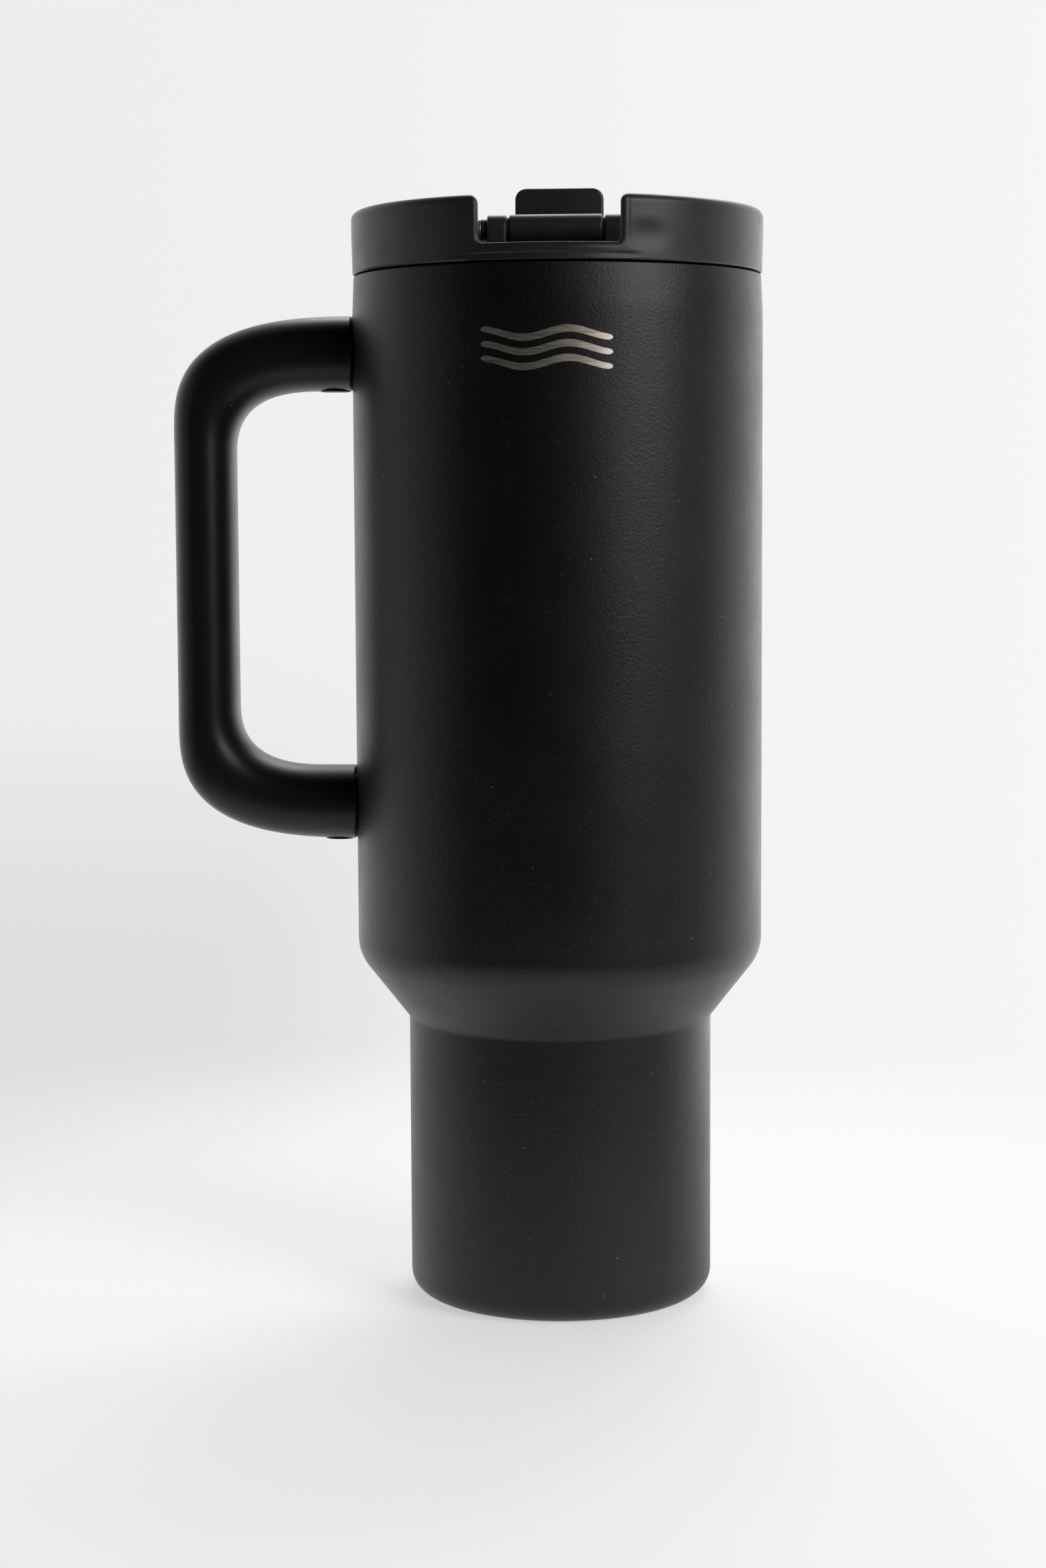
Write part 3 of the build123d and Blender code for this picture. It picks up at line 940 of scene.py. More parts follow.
    def base_plate(self) -> None:
        """Cover plate under the base: slightly hollow, with one stamped ring, turned.

        Its underside rises by an eased dish plus stamp_depth * exp(-(r - stamp_r)^4).
        """
        high = span("base_disc")[1]
        radius, thick = float(high[0]), float(high[2])
        across = np.linspace(0.0, radius - self.disc_round, 90)
        dish = self.dish * ease(radius - 2.0, radius - 12.0, across)
        ring = self.stamp_depth * np.exp(-((across - self.stamp_r) ** 4))
        under = np.column_stack([across, dish + ring])
        edge = rounded_line([under[-1], (radius, 0.0), (radius, thick), (radius - 1, thick)],
                            [self.disc_round, self.disc_top_round], 5)
        profile = np.vstack([under, edge[1:], [[0.0, thick]]])
        piece = built("base_plate", lathe(profile, 128))
        self.shop.hand_over(piece, "mug", "black_paint", "base_disc")

    def build(self) -> None:
        """Build the vessel's pieces and dress the nodes that stay."""
        self.shell()
        self.mark()
        self.cup()
        self.base_plate()
        self.shop.dress_node("vacuum_base", "bare_steel")
        self.shop.dress_node("vacuum_seal", "seal_glass")
        self.shop.dress_node("getter", "getter_grey")


# ------------------------------------------------------------------ handle
@dataclass(frozen=True)
class Bend:
    """One of the handle's corner curves, a quarter of |x/a|^n + |z/b|^n = 1.

    Attributes:
        x: X of its centre.
        up: Height of its centre above the handle's middle.
        reach: How far it stands out from its centre.
        rise: How far it rises above its centre.
        power: The exponent n.
    """

    x: float
    up: float
    reach: float
    rise: float
    power: float

    def quarter(self, count: int) -> Array:
        """Points from the top to the outer side, evenly spread.

        Args:
            count: How many points.

        Returns:
            X and height above the handle's middle.
        """
        angle = np.linspace(0.0, pi / 2, 400)
        out = np.sin(angle) ** (2 / self.power)
        high = np.cos(angle) ** (2 / self.power)
        return even(np.column_stack([self.x - self.reach * out, self.up + self.rise * high]), count)


@dataclass
class Handle:
    """The moulded grip, its screw covers, and the brackets and screws inside its arms.

    Sizes are in millimetres. The two bends give the outer and the inner edge of one corner,
    and section is the exponent n of the grip's section.
    """

    shop: Workshop
    outer: Bend = Bend(-48.0, 35.8, 46.4, 28.4, 2.8)
    inner: Bend = Bend(-57.3, 30.0, 22.0, 16.0, 2.7)
    half_width: float = 11.0
    section: float = 2.15
    root_gap: float = 0.12
    root_round: float = 0.7
    root_reach: float = 6.4
    root_depths: tuple[float, ...] = (0.0, 0.02, 0.06, 0.14, 0.26, 0.42, 0.58)
    body_radius: float = 50.0
    cover_round: float = 0.4
    cover_dome: float = 0.12
    around: int = 72
    middle_z: float = field(init=False)

    def __post_init__(self) -> None:
        """Read the middle height from the frame."""
        low, high = span("handle")
        self.middle_z = float(low[2] + high[2]) / 2

    def edges(self) -> tuple[Array, Array]:
        """The outer and inner edge of the upper half, from the arm to mid height.

        Both start in the plane where the inner corner begins, follow their corner and run
        straight down to the middle.

        Returns:
            X and height above the middle for each edge, with equal counts.
        """
        outer = self.outer.quarter(240)
        outer = outer[outer[:, 0] < self.inner.x]
        edges = []
        for bend in (outer, self.inner.quarter(200)):
            down = np.linspace(bend[-1, 1], 0.0, 41)[1:]
            edges.append(np.vstack([even(bend, 64), np.column_stack([np.full(40, bend[-1, 0]), down])]))
        return edges[0], edges[1]

    def loop(self, outer: Array, inner: Array, shrink: Array) -> Array:
        """Sections between two edges: middle + d*h*c^(2/n) across, w*s^(2/n) along Y.

        Args:
            outer: Points of the outer edge, rows by 2.
            inner: Points of the inner edge, rows by 2.
            shrink: How much smaller each section is on every side.

        Returns:
            Rows by points by 3, with the height above the handle's middle.
        """
        angle = np.linspace(0.0, TURN, self.around, endpoint=False)
        across = np.sign(np.cos(angle)) * np.abs(np.cos(angle)) ** (2 / self.section)
        along = np.sign(np.sin(angle)) * np.abs(np.sin(angle)) ** (2 / self.section)
        middle = (outer + inner) / 2
        reach = (outer - inner) / 2
        size = np.linalg.norm(reach, axis=1)
        part = ((size - shrink) / size)[:, None]
        flat = middle[:, None, :] + reach[:, None, :] * part[:, :, None] * across[None, :, None]
        y = (self.half_width - shrink)[:, None] * along[None, :]
        return np.stack([flat[..., 0], y, flat[..., 1]], axis=-1)

    def grip(self) -> None:
        """The grip: one rounded section carried from one arm's root to the other's.

        From the inner corner's plane each point runs straight to the body, where x is
        -sqrt(R^2 - y^2), with its edge rounded; the end is closed by rings on that cylinder.
        """
        outer, inner = self.edges()
        half = self.loop(outer, inner, np.zeros(len(outer)))
        to_body = self.body_radius + self.root_gap
        depth = np.concatenate([self.root_depths, np.linspace(0.75, self.root_reach, 12)])[::-1]
        share = depth / self.root_reach
        none = np.zeros(len(depth))
        crown_z = self.outer.up + self.outer.rise
        top = np.interp(self.inner.x, outer[::-1, 0], outer[::-1, 1])
        above = np.column_stack([none, crown_z - (crown_z - top) * share**self.outer.power])
        below = np.column_stack([none, none + inner[0, 1]])
        root = self.loop(above, below, quarter_round(self.root_round, depth))
        wall_x = -np.sqrt(to_body**2 - root[..., 1] ** 2)
        root[..., 0] = wall_x + (self.inner.x - wall_x) * share[:, None]
        ring = root[-1]
        inward = np.linspace(1.0, 0.0, 7)[1:, None]
        ring_z = ring[:, 2].mean()
        cap_y = ring[None, :, 1] * inward
        cap_z = ring_z + (ring[None, :, 2] - ring_z) * inward
        cap = np.stack([-np.sqrt(to_body**2 - cap_y**2), cap_y, cap_z], axis=-1)
        upper = np.concatenate([cap[::-1], root[::-1], half[1:]])
        lower = upper[-2::-1] * np.array([1.0, 1.0, -1.0])
        grid = np.concatenate([upper, lower])
        grid[..., 2] += self.middle_z
        piece = built("grip", grid, sharp=50.0)
        self.shop.hand_over(piece, "mug", "handle_black", "handle")

    def covers(self) -> None:
        """Screw covers: shallow domed plugs, turned."""
        for name in ("upper_screw_cover", "lower_screw_cover"):
            low, high = span(name)
            radius = float(high[0] - low[0]) / 2
            centre = (float(low[0] + high[0]) / 2, 0.0)
            across = np.linspace(0.0, radius - 0.5, 12)
            face = np.column_stack([across, low[2] + self.cover_dome * (across / radius) ** 2])
            corners = [face[-1], (radius, low[2] + 0.1), (radius, high[2])]
            edge = rounded_line(corners, [self.cover_round], 6)
            profile = np.vstack([face, edge[1:], [[0.0, high[2]]]])
            piece = built(name.replace("screw_cover", "plug"), lathe(profile, 64, centre))
            self.shop.hand_over(piece, "mug", "handle_black", name)

    def build(self) -> None:
        """Build the handle's pieces and dress the nodes that stay."""
        self.grip()
        self.covers()
        for end in ("upper", "lower"):
            self.shop.dress_node(f"{end}_bracket", "bare_steel")
            self.shop.dress_node(f"{end}_screw", "bare_steel")


# ------------------------------------------------------------------ lid
HINGE = (-6.0, 261.8)       # Y and height of the flap's pin
PORT_Y = 6.0                # the straw port and the flap's stopper share this Y


@dataclass
class Collar:
    """The lid's tall collar with a notch in its front, edged by a bead.

    Its surface is a sheet of straight lines. Each starts at the foot and ends on the free
    edge, which runs round the rim and down, along and up the notch. Sizes are in millimetres.

    Attributes:
        draft: How far the foot lies inside the radius, fading out at draft_top.
        low_round: Radius of the notch's lower corners; top_round is that of its upper ones.
        cheek_round: Radius of the notch's upright edges; sill_round is that of its sill.
        lean: How far the sill leans in at its edge, over lean_width.
        bead: Distance of a faint groove from the cheeks; bead_low is the sill bead's height.
        step_z: Height of the crease under the sill.
        near: Distance from the notch's middle up to which lines fan out from its edge.
        dimple_at: Distance to the right and height of the soft dimple.
    """

    shop: Workshop
    radius: float = 49.98
    draft: float = 0.2
    draft_top: float = 262.0
    inner_radius: float = 46.5
    rim_round: float = 1.9
    notch_half: float = 16.3
    notch_z: float = 255.2
    low_round: float = 1.1
    top_round: float = 2.0
    cheek_round: float = 1.5
    sill_round: float = 0.12
    lean: float = 0.6
    lean_width: float = 1.5
    bead: float = 1.95
    bead_low: float = 2.25
    bead_crown: float = 0.12
    groove: float = 0.07
    groove_width: float = 0.26
    step_z: float = 252.95
    step_depth: float = 0.28
    inner_round: float = 0.4
    foot_round: float = 0.35
    near: float = 24.0
    fan: float = 3.2
    rows: int = 58
    row_power: float = 1.35
    back_rows: int = 16
    back_power: float = 1.6
    dimple_at: tuple[float, float] = (22.3, 257.0)
    dimple_size: tuple[float, float] = (6.8, 4.6)
    dimple_depth: float = 0.32
    foot_z: float = field(init=False)
    rim_z: float = field(init=False)

    def __post_init__(self) -> None:
        """Read the heights from the frame."""
        low, high = span("lid_body")
        self.foot_z, self.rim_z = float(low[2]), float(high[2])

    def lines(self) -> tuple[Array, Array, Array]:
        """The sheet's lines: where each ends on the free edge and where its foot is.

        Returns:
            Nominal angle and height of each end, and nominal angle of each foot.
        """
        corners = [(0.0, self.notch_z), (self.notch_half, self.notch_z),
                   (self.notch_half, self.rim_z), (self.near, self.rim_z)]
        path = rounded_line(corners, [self.low_round, self.top_round], 14)
        path = even(filled(path, 0.5), 190)
        length = np.concatenate([[0.0], np.cumsum(np.linalg.norm(np.diff(path, axis=0), axis=1))])
        flat_end = self.notch_half - self.low_round - 1.0
        rim_start = length[-1] - (self.near - self.notch_half - self.top_round)
        knots = [0.0, flat_end, rim_start, length[-1]]
        feet = np.interp(length, knots, [0.0, flat_end, self.near - self.fan, self.near])
        edge_angle = np.arcsin(path[:, 0] / self.radius)
        foot_angle = np.arcsin(feet / self.radius)
        far = np.linspace(edge_angle[-1], pi, 130)[1:-1]
        half_edge = np.concatenate([edge_angle, far])
        half_foot = np.concatenate([foot_angle, far])
        half_z = np.concatenate([path[:, 1], np.full(len(far), self.rim_z)])
        edge = np.concatenate([-half_edge[:0:-1], half_edge, [pi]])
        foot = np.concatenate([-half_foot[:0:-1], half_foot, [pi]])
        height = np.concatenate([half_z[:0:-1], half_z, [self.rim_z]])
        return edge, height, foot

    def edge_fall(self, side: Array, height: Array, from_notch: Array) -> Array:
        """How far the rim and the notch's edges round off.

        Each falls back with the distance from its edge: rim and cheeks as a quarter circle,
        the sill as lean * (1 - d / lean_width)^2. About the rounded corner's centre the fall
        turns from the rim's to the cheek's.

        Args:
            side: Distance from the notch's middle, along X, without sign.
            height: Height.
            from_notch: Distance from the notch's edge.

        Returns:
            The fall at each point.
        """
        depth = np.maximum(from_notch, 0)
        rim = quarter_round(self.rim_round, self.rim_z - height)
        sill = self.lean * np.clip(1 - depth / self.lean_width, 0.0, 1.0) ** 2
        sill = sill + quarter_round(self.sill_round, depth)
        cheek = ease(self.notch_z + 0.2, self.notch_z + 2.2, height)
        notch = cheek * quarter_round(self.cheek_round, depth) + (1 - cheek) * sill
        left = self.notch_half + self.top_round - side
        up = height - self.rim_z + self.top_round
        to_edge = np.maximum(self.top_round - np.hypot(left, up), 0)
        share = ease(0.0, 1.0, np.arctan2(left, np.maximum(up, 1e-9)) / (pi / 2))
        turned = (1 - share) * quarter_round(self.rim_round, to_edge)
        turned = turned + share * quarter_round(self.cheek_round, to_edge)
        corner = (left > 0) & (up > 0)
        return np.where(corner, np.maximum(turned, share * rim), np.maximum(rim, notch))

    def fall(self, side: Array, height: Array) -> Array:
        """How far the outer face lies inside the collar's radius.

        To the edges' fall it adds a faint groove beside the cheeks, a bell curve of the
        distance from them, a bead over the sill, a parabola of that distance, and the eased
        crease under the bead.

        Args:
            side: Distance from the notch's middle, along X, without sign.
            height: Height.

        Returns:
            The fall at each point.
        """
        past = side - self.notch_half + self.low_round
        below = self.notch_z + self.low_round - height
        from_notch = np.hypot(np.maximum(past, 0), np.maximum(below, 0)) - self.low_round
        groove = self.groove * np.exp(-(((from_notch - self.bead) / self.groove_width) ** 2))
        groove = groove * ease(self.notch_z - 0.8, self.notch_z + 1.2, height)
        step = ease(self.step_z + 0.12, self.step_z - 0.16, height)
        step = step * ease(self.step_z - 2.0, self.step_z - 0.3, height)
        step = step * ease(self.notch_half + 6.0, self.notch_half - 0.5, side)
        across = np.clip(from_notch, 0, self.bead_low) / self.bead_low
        crown = self.bead_crown * (across - 0.5) ** 2
        crown = crown * ease(self.notch_half + 1.0, self.notch_half - 1.0, side)
        return self.edge_fall(side, height, from_notch) + groove + self.step_depth * step + crown

    def set_out(self, angle: Array, radius: Array, height: Array) -> Array:
        """Put nominal angles at their radius, keeping the notch's cheeks parallel.

        Near the notch a point keeps its X whatever its radius, so its angle is
        asin(x / r); this fades out away from the notch.

        Args:
            angle: Nominal angle from the notch's middle.
            radius: Radius of each point.
            height: Height of each point.

        Returns:
            The points.
        """
        side = np.clip(self.radius * np.sin(np.clip(angle, -pi / 2, pi / 2)), -self.near, self.near)
        keep = ease(radians(50.0), radians(29.5), np.abs(angle))
        shift = (np.arcsin(side / radius) - np.arcsin(side / self.radius)) * keep
        turned = angle + shift
        return np.stack([radius * np.sin(turned), -radius * np.cos(turned), height], axis=-1)

    def build(self) -> None:
        """Build the collar: outer sheet, the edge's land, inner sheet and the underside."""
        edge, edge_z, foot = self.lines()
        part = (1 - (1 - np.linspace(0, 1, self.rows)) ** self.row_power)[:, None]
        angle = foot + (edge - foot) * part
        angle[:, -1] = pi
        height = self.foot_z + (edge_z - self.foot_z) * part
        side = np.abs(self.radius * np.sin(np.clip(angle, -pi / 2, pi / 2)))
        front = np.abs(angle) < pi / 2
        outer_r = self.radius - self.fall(np.where(front, side, self.radius), height)
        outer_r = outer_r - quarter_round(self.foot_round, height - self.foot_z)
        outer_r -= self.draft * ease(self.draft_top, self.foot_z, height)
        dimple = np.hypot((side - self.dimple_at[0]) / self.dimple_size[0],
                          (height - self.dimple_at[1]) / self.dimple_size[1])
        outer_r -= self.dimple_depth * ease(1.0, 0.0, dimple) * (angle > 0) * front
        back_part = (np.linspace(0, 1, self.back_rows) ** self.back_power)[:, None]
        back_angle = edge + (foot - edge) * back_part
        back_angle[:, -1] = pi
        away = (edge_z - self.foot_z) * back_part
        inner_r = self.inner_radius + quarter_round(self.inner_round, away)
        grid = self.set_out(np.vstack([angle, back_angle]), np.vstack([outer_r, inner_r]),
                            np.vstack([height, edge_z - away]))
        piece = built("lid_collar", grid, wrap_rows=True, sharp=40.0)
        self.shop.hand_over(piece, "lid", "lid_black", "lid_body")


@dataclass
class Lid:
    """The lid inside its collar: deck, hinge posts, threaded liner, seals and vent.

    Sizes are in millimetres. The hinge is the pin's Y and height, and post_x, boss_x and
    shoulder_x are distances from the lid's middle.
    """

    shop: Workshop
    deck_z: float = 254.5
    deck_low: float = 252.5
    deck_radius: float = 46.6
    cove: float = 0.55
    port_y: float = PORT_Y
    port_hole: float = 6.8
    lip_radius: float = 8.6
    lip_z: float = 257.6
    lip_round: float = 0.6
    post_radius: float = 3.55
    post_x: tuple[float, float] = (11.9, 16.5)
    boss_radius: float = 2.6
    boss_x: float = 18.0
    shoulder_x: float = 11.25
    shoulder_radius: float = 3.05
    bore: float = 1.52
    sunk: float = 0.4
    hinge: tuple[float, float] = HINGE
    post_edge: float = 0.4
    post_flare: float = 1.6
    post_cove: float = 1.2
    boss_edge: float = 0.2
    skirt: float = 44.8
    skirt_in: float = 42.8
    flange: float = 46.4
    flange_z: float = 251.3
    liner_hole: float = 30.0
    bead_radius: float = 45.5
    bead_z: tuple[float, float] = (245.6, 246.2)
    thread_depth: float = 1.1
    gasket_in: float = 44.86
    gasket_wave: float = 0.35
    grommet_wall: float = 1.25
    vent_stem: float = 1.9
    vent_edge: float = 0.25
    vent_rise: float = 0.93

    def deck(self) -> None:
        """Deck with the port's raised lip: circles that grow from the port to the collar.

        The inner circles share the port's middle; past the lip their middle slides to the
        lid's axis as they grow.
        """
        start = self.lip_radius + 1.2
        corners = [
            (self.port_hole, self.deck_low), (self.port_hole, self.lip_z), (self.lip_radius, self.lip_z),
            (self.lip_radius, self.deck_z), (self.deck_radius - 0.2, self.deck_z),
            (self.deck_radius - 0.05, self.deck_z + self.cove), (self.deck_radius, self.deck_low),
        ]
        radii = [self.lip_round * 0.6, self.lip_round, 0.9, 0.0, 0.0]
        line = rounded_line(corners, radii, 7)
        profile = filled(np.vstack([line, line[:1]]), 2.4)[:-1]
        away = np.clip((profile[:, 0] - start) / (self.deck_radius - start), 0.0, 1.0)
        grid = lathe(profile, 160)
        grid[..., 1] += (self.port_y * (1 - away))[:, None]
        piece = built("lid_deck", grid, wrap_rows=True)
        self.shop.hand_over(piece, "lid", "lid_black", "lid_body")

    def post(self, name: str, side: int) -> None:
        """One hinge post: a round-topped upright with a flared foot and eased edges.

        Its outline in Y and Z is carried along X, drawn in towards the hinge axis at both
        ends by r - sqrt(r^2 - d^2).

        Args:
            name: The piece's name.
            side: 1 on the right and -1 on the left.
        """
        y, z = self.hinge
        turn = np.linspace(0.0, pi, 33)
        top = np.column_stack([y + self.post_radius * np.cos(turn), z + self.post_radius * np.sin(turn)])
        front = y - self.post_radius
        foot = rounded_line([(front, z), (front, self.deck_z), (front - self.post_flare, self.deck_z - 0.1)],
                            [self.post_cove], 8)
        other = foot[::-1] * [-1, 1] + [2 * y, 0]
        outline = filled(np.vstack([top, foot[1:], other[:-1]]), 0.9)
        low, high = self.post_x
        depth = np.array([0.0, 0.04, 0.12, 0.24, 0.4, 1.2])
        along = np.concatenate([low + depth, high - depth[::-1]])
        inset = quarter_round(self.post_edge, np.minimum(along - low, high - along))[:, None]
        away = np.stack([outline[:, 0] - y, np.maximum(outline[:, 1] - z, 0.0)], axis=-1)
        away = away / np.maximum(np.linalg.norm(away, axis=1, keepdims=True), 1e-6)
        flat = outline[None] - away[None] * inset[:, :, None]
        across = np.broadcast_to(along[:, None, None] * side, (*flat.shape[:2], 1))
        grid = np.concatenate([across, flat], axis=-1)
        piece = built(name, closed_ends(grid, 4))
        self.shop.hand_over(piece, "lid", "lid_black", "lid_body")

    def boss(self, name: str, side: int, near: float, far: float, radius: float) -> None:
        """Round boss on a post's face, turned about the pin.

        Args:
            name: The piece's name.
            side: 1 on the right and -1 on the left.
            near: Distance of its end that is nearer to the lid's middle.
            far: Distance of its other end.
            radius: Its radius.
        """
        corners = [(near, self.bore), (near, radius), (far, radius), (far, self.bore)]
        line = rounded_line(corners, [self.boss_edge, self.boss_edge], 5)
        piece = built(name, spindle(line * [side, 1], *self.hinge), wrap_rows=True)
        self.shop.hand_over(piece, "lid", "lid_black", "lid_body")

    def liner(self) -> None:
        """Threaded skirt under the deck, turned, with the male thread on its outer face."""
        low, high = span("lid_liner")
        bead_low, bead_high = self.bead_z
        corners = [
            (self.liner_hole, self.flange_z), (self.skirt_in, self.flange_z), (self.skirt_in, low[2]),
            (self.skirt, low[2]), (self.skirt, bead_low), (self.bead_radius, bead_low),
            (self.bead_radius, bead_high), (self.skirt, bead_high), (self.skirt, self.flange_z),
            (self.flange, self.flange_z), (self.flange, high[2]), (self.liner_hole, high[2]),
        ]
        radii = [1.2, 0.4, 0.6, 0.0, 0.2, 0.2, 0.0, 0.0, 0.2, 0.2]
        profile = filled(rounded_line(corners, radii, 5), 0.34)
        thread = Thread(THREAD_LOW, self.thread_depth, 0.0)
        grid = lathe(profile, 240)
        wall = np.abs(profile[:, 0] - self.skirt) < 0.01
        grid[wall] = lathe(profile, 240, shape=thread.rise)[wall]
        piece = built("threaded_liner", grid, wrap_rows=True)
        self.shop.hand_over(piece, "lid", "lid_black", "lid_liner")

    def gasket(self) -> None:
        """Silicone ring with two soft lips on its outer face, turned.

        The face is a cosine with two crests over the ring's height, and its crests are the lips.
        """
        low, high = span("lid_gasket")
        outer = float(high[0])
        shoulder = outer - 0.6
        up = np.linspace(low[2] + 0.25, high[2] - 0.25, 40)
        wave = 0.5 + 0.5 * np.cos(TURN * 2 * (up - low[2]) / (high[2] - low[2]) + pi)
        face = np.column_stack([outer - self.gasket_wave * (1 - wave), up])
        profile = np.vstack([[(self.gasket_in, low[2]), (shoulder, low[2])], face,
                             [(shoulder, high[2]), (self.gasket_in, high[2])]])
        piece = built("gasket_ring", lathe(profile, 160), wrap_rows=True)
        self.shop.hand_over(piece, "gasket", "black_silicone", "lid_gasket")

    def port_liner(self) -> None:
        """Silicone grommet in the straw port, with a small rolled lip, turned."""
        low, high = span("port_seal")
        outer = float(high[0])
        inner = outer - self.grommet_wall
        corners = [(inner, low[2]), (inner, high[2] - 1.2), (outer - 0.85, high[2]), (outer, high[2]),
                   (outer, low[2])]
        profile = filled(rounded_line(corners, [0.8, 0.35, 0.1], 6), 1.2)
        piece = built("port_grommet", lathe(profile, 72, (0.0, self.port_y)), wrap_rows=True)
        self.shop.hand_over(piece, "lid", "black_silicone", "port_seal")

    def vent(self) -> None:
        """Vent valve: a stem with a domed cap, turned.

        The cap's outline is (r * sin(a)^0.7, base + rise * cos(a)).
        """
        low, high = span("vent_valve")
        centre = tuple(float(v) for v in (low[:2] + high[:2]) / 2)
        cap_r = float(high[0] - low[0]) / 2
        cap_z = self.deck_z + 0.02
        turn = np.linspace(0.0, pi / 2, 12)
        dome_z = self.deck_z + self.vent_edge + self.vent_rise * np.cos(turn)
        dome = np.column_stack([cap_r * np.sin(turn) ** 0.7, dome_z])
        rest = [(cap_r, cap_z), (self.vent_stem, cap_z), (self.vent_stem, low[2]), (0.0, low[2])]
        piece = built("vent_cap", lathe(np.vstack([dome, rest]), 56, centre))
        self.shop.hand_over(piece, "lid", "black_silicone", "vent_valve")

    def build(self) -> None:
        """Build the lid's pieces and dress the pin."""
        self.deck()
        for word, side in (("left", -1), ("right", 1)):
            near, far = self.post_x
            self.post(f"{word}_post", side)
            self.boss(f"{word}_boss", side, far - self.sunk, self.boss_x, self.boss_radius)
            self.boss(f"{word}_shoulder", side, self.shoulder_x, near + self.sunk, self.shoulder_radius)
        self.liner()
        self.gasket()
        self.port_liner()
        self.vent()
        self.shop.dress_node("hinge_pin", "pin_steel")


@dataclass
class Flap:
    """The hinged flap: barrel, plate with its upright tab, stopper and the pin's caps.

    Sizes are in millimetres.
    """

    shop: Workshop
    hinge: tuple[float, float] = HINGE
    barrel_radius: float = 3.65
    barrel_half: float = 11.15
    barrel_edge: float = 0.35
    plate_half: float = 11.0
    plate_z: float = 261.0
    plate_t: float = 2.8
    tab_y: float = 16.2
    tab_t: float = 2.6
    tab_bend: float = 2.4
    tab_corner: float = 2.8
    tab_edge: float = 0.9
    tab_share: float = 0.9
    side_round: float = 0.75
    bore: float = 1.6
    disc_t: float = 1.6
    plug_tip: float = 3.9
    plug_root: float = 4.75
    cap_rim: float = 0.55
    cap_step: float = 0.25
    port_y: float = PORT_Y

    def barrel(self) -> None:
        """Barrel: a rod about the pin with rounded ends."""
        end, radius = self.barrel_half, self.barrel_radius
        corners = [(-end, self.bore), (-end, radius), (end, radius), (end, self.bore)]
        line = rounded_line(corners, [self.barrel_edge, self.barrel_edge], 8)
        bore = [(end - 0.4, self.bore - 0.02), (0.4 - end, self.bore - 0.02)]
        profile = np.vstack([filled(line, 3.0), bore])
        piece = built("flap_barrel", spindle(profile, *self.hinge, 96), wrap_rows=True)
        self.shop.hand_over(piece, "flap", "lid_black", "flap")

    def plate(self) -> None:
        """Plate and tab: a rounded bar carried back from the barrel and up the tab.

        Its half width closes on a circle at the tab's top corners, and its half thickness
        falls by tab_share of a quarter circle at the tip.
        """
        top_z = float(span("flap")[1][2])
        start = (self.hinge[0] + 2.2, self.plate_z)
        path = rounded_line([start, (self.tab_y, self.plate_z), (self.tab_y, top_z)], [self.tab_bend], 14)
        path = filled(path, 1.0)
        fine = np.array([2.8, 2.5, 2.1, 1.7, 1.3, 1.0, 0.75, 0.52, 0.34, 0.2, 0.1, 0.03, 0.0])
        tip = np.column_stack([np.full(len(fine), self.tab_y), top_z - fine])
        path = np.vstack([path[path[:, 1] < top_z - fine[0] - 0.1], tip])
        step = np.gradient(path, axis=0)
        step = step / np.linalg.norm(step, axis=1, keepdims=True)
        normal = np.column_stack([-step[:, 1], step[:, 0]])
        rise = ease(self.plate_z, self.plate_z + 6.0, path[:, 1])
        left = top_z - path[:, 1]
        half_t = (self.plate_t * (1 - rise) + self.tab_t * rise) / 2
        half_t = half_t - quarter_round(self.tab_edge, left) * self.tab_share
        half_w = self.plate_half - quarter_round(self.tab_corner, left)
        loop = boxy_loop(half_w, half_t, np.full(len(path), self.side_round), 6)
        flat = path[:, None, :] + normal[:, None, :] * loop[..., 1:]
        grid = np.stack([loop[..., 0], flat[..., 0], flat[..., 1]], axis=-1)
        piece = built("flap_plate", closed_ends(grid, 3))
        self.shop.hand_over(piece, "flap", "lid_black", "flap")

    def stopper(self) -> None:
        """Silicone stopper under the plate: a disc and a plug with a soft tip, turned."""
        low, high = span("flap_seal")
        radius = float(high[0])
        disc_z = float(high[2]) - self.disc_t
        corners = [(0.0, low[2] + 0.25), (3.0, low[2]), (self.plug_tip, low[2]), (self.plug_root, disc_z),
                   (radius, disc_z), (radius, high[2]), (0.0, high[2])]
        line = rounded_line(corners, [1.5, 0.5, 0.3, 0.4, 0.1], 6)
        piece = built("stopper", lathe(filled(line, 1.2), 72, (0.0, self.port_y)))
        self.shop.hand_over(piece, "flap", "black_silicone", "flap_seal")

    def caps(self) -> None:
        """The pin's caps: a dome with a thin rim, turned about the pin."""
        for name, side in (("left_pin_cap", -1), ("right_pin_cap", 1)):
            low, high = span(name)
            start, end = sorted((abs(float(low[0])), abs(float(high[0]))))
            radius = float(high[2] - low[2]) / 2
            turn = np.linspace(0.0, pi / 2, 14)
            foot, foot_r = start + self.cap_rim, radius - self.cap_step
            dome = np.column_stack([foot + (end - foot) * np.sin(turn), foot_r * np.cos(turn)])
            corners = [(start, self.bore), (start, radius), (start + 0.5, radius), (foot, foot_r)]
            rim = rounded_line(corners, [0.12, 0.18], 4)
            profile = np.vstack([[[start, 0.0]], rim, dome])
            piece = built(name.replace("pin_cap", "dome"), spindle(profile * [side, 1], *self.hinge))
            self.shop.hand_over(piece, "lid", "pin_steel", name)

    def build(self) -> None:
        """Build the flap's pieces."""
        self.barrel()
        self.plate()
        self.stopper()
        self.caps()


# ------------------------------------------------------------------ studio
WHITE = (1.0, 1.0, 1.0, 1.0)
SENSOR = 36.0               # width of the camera's sensor, in millimetres


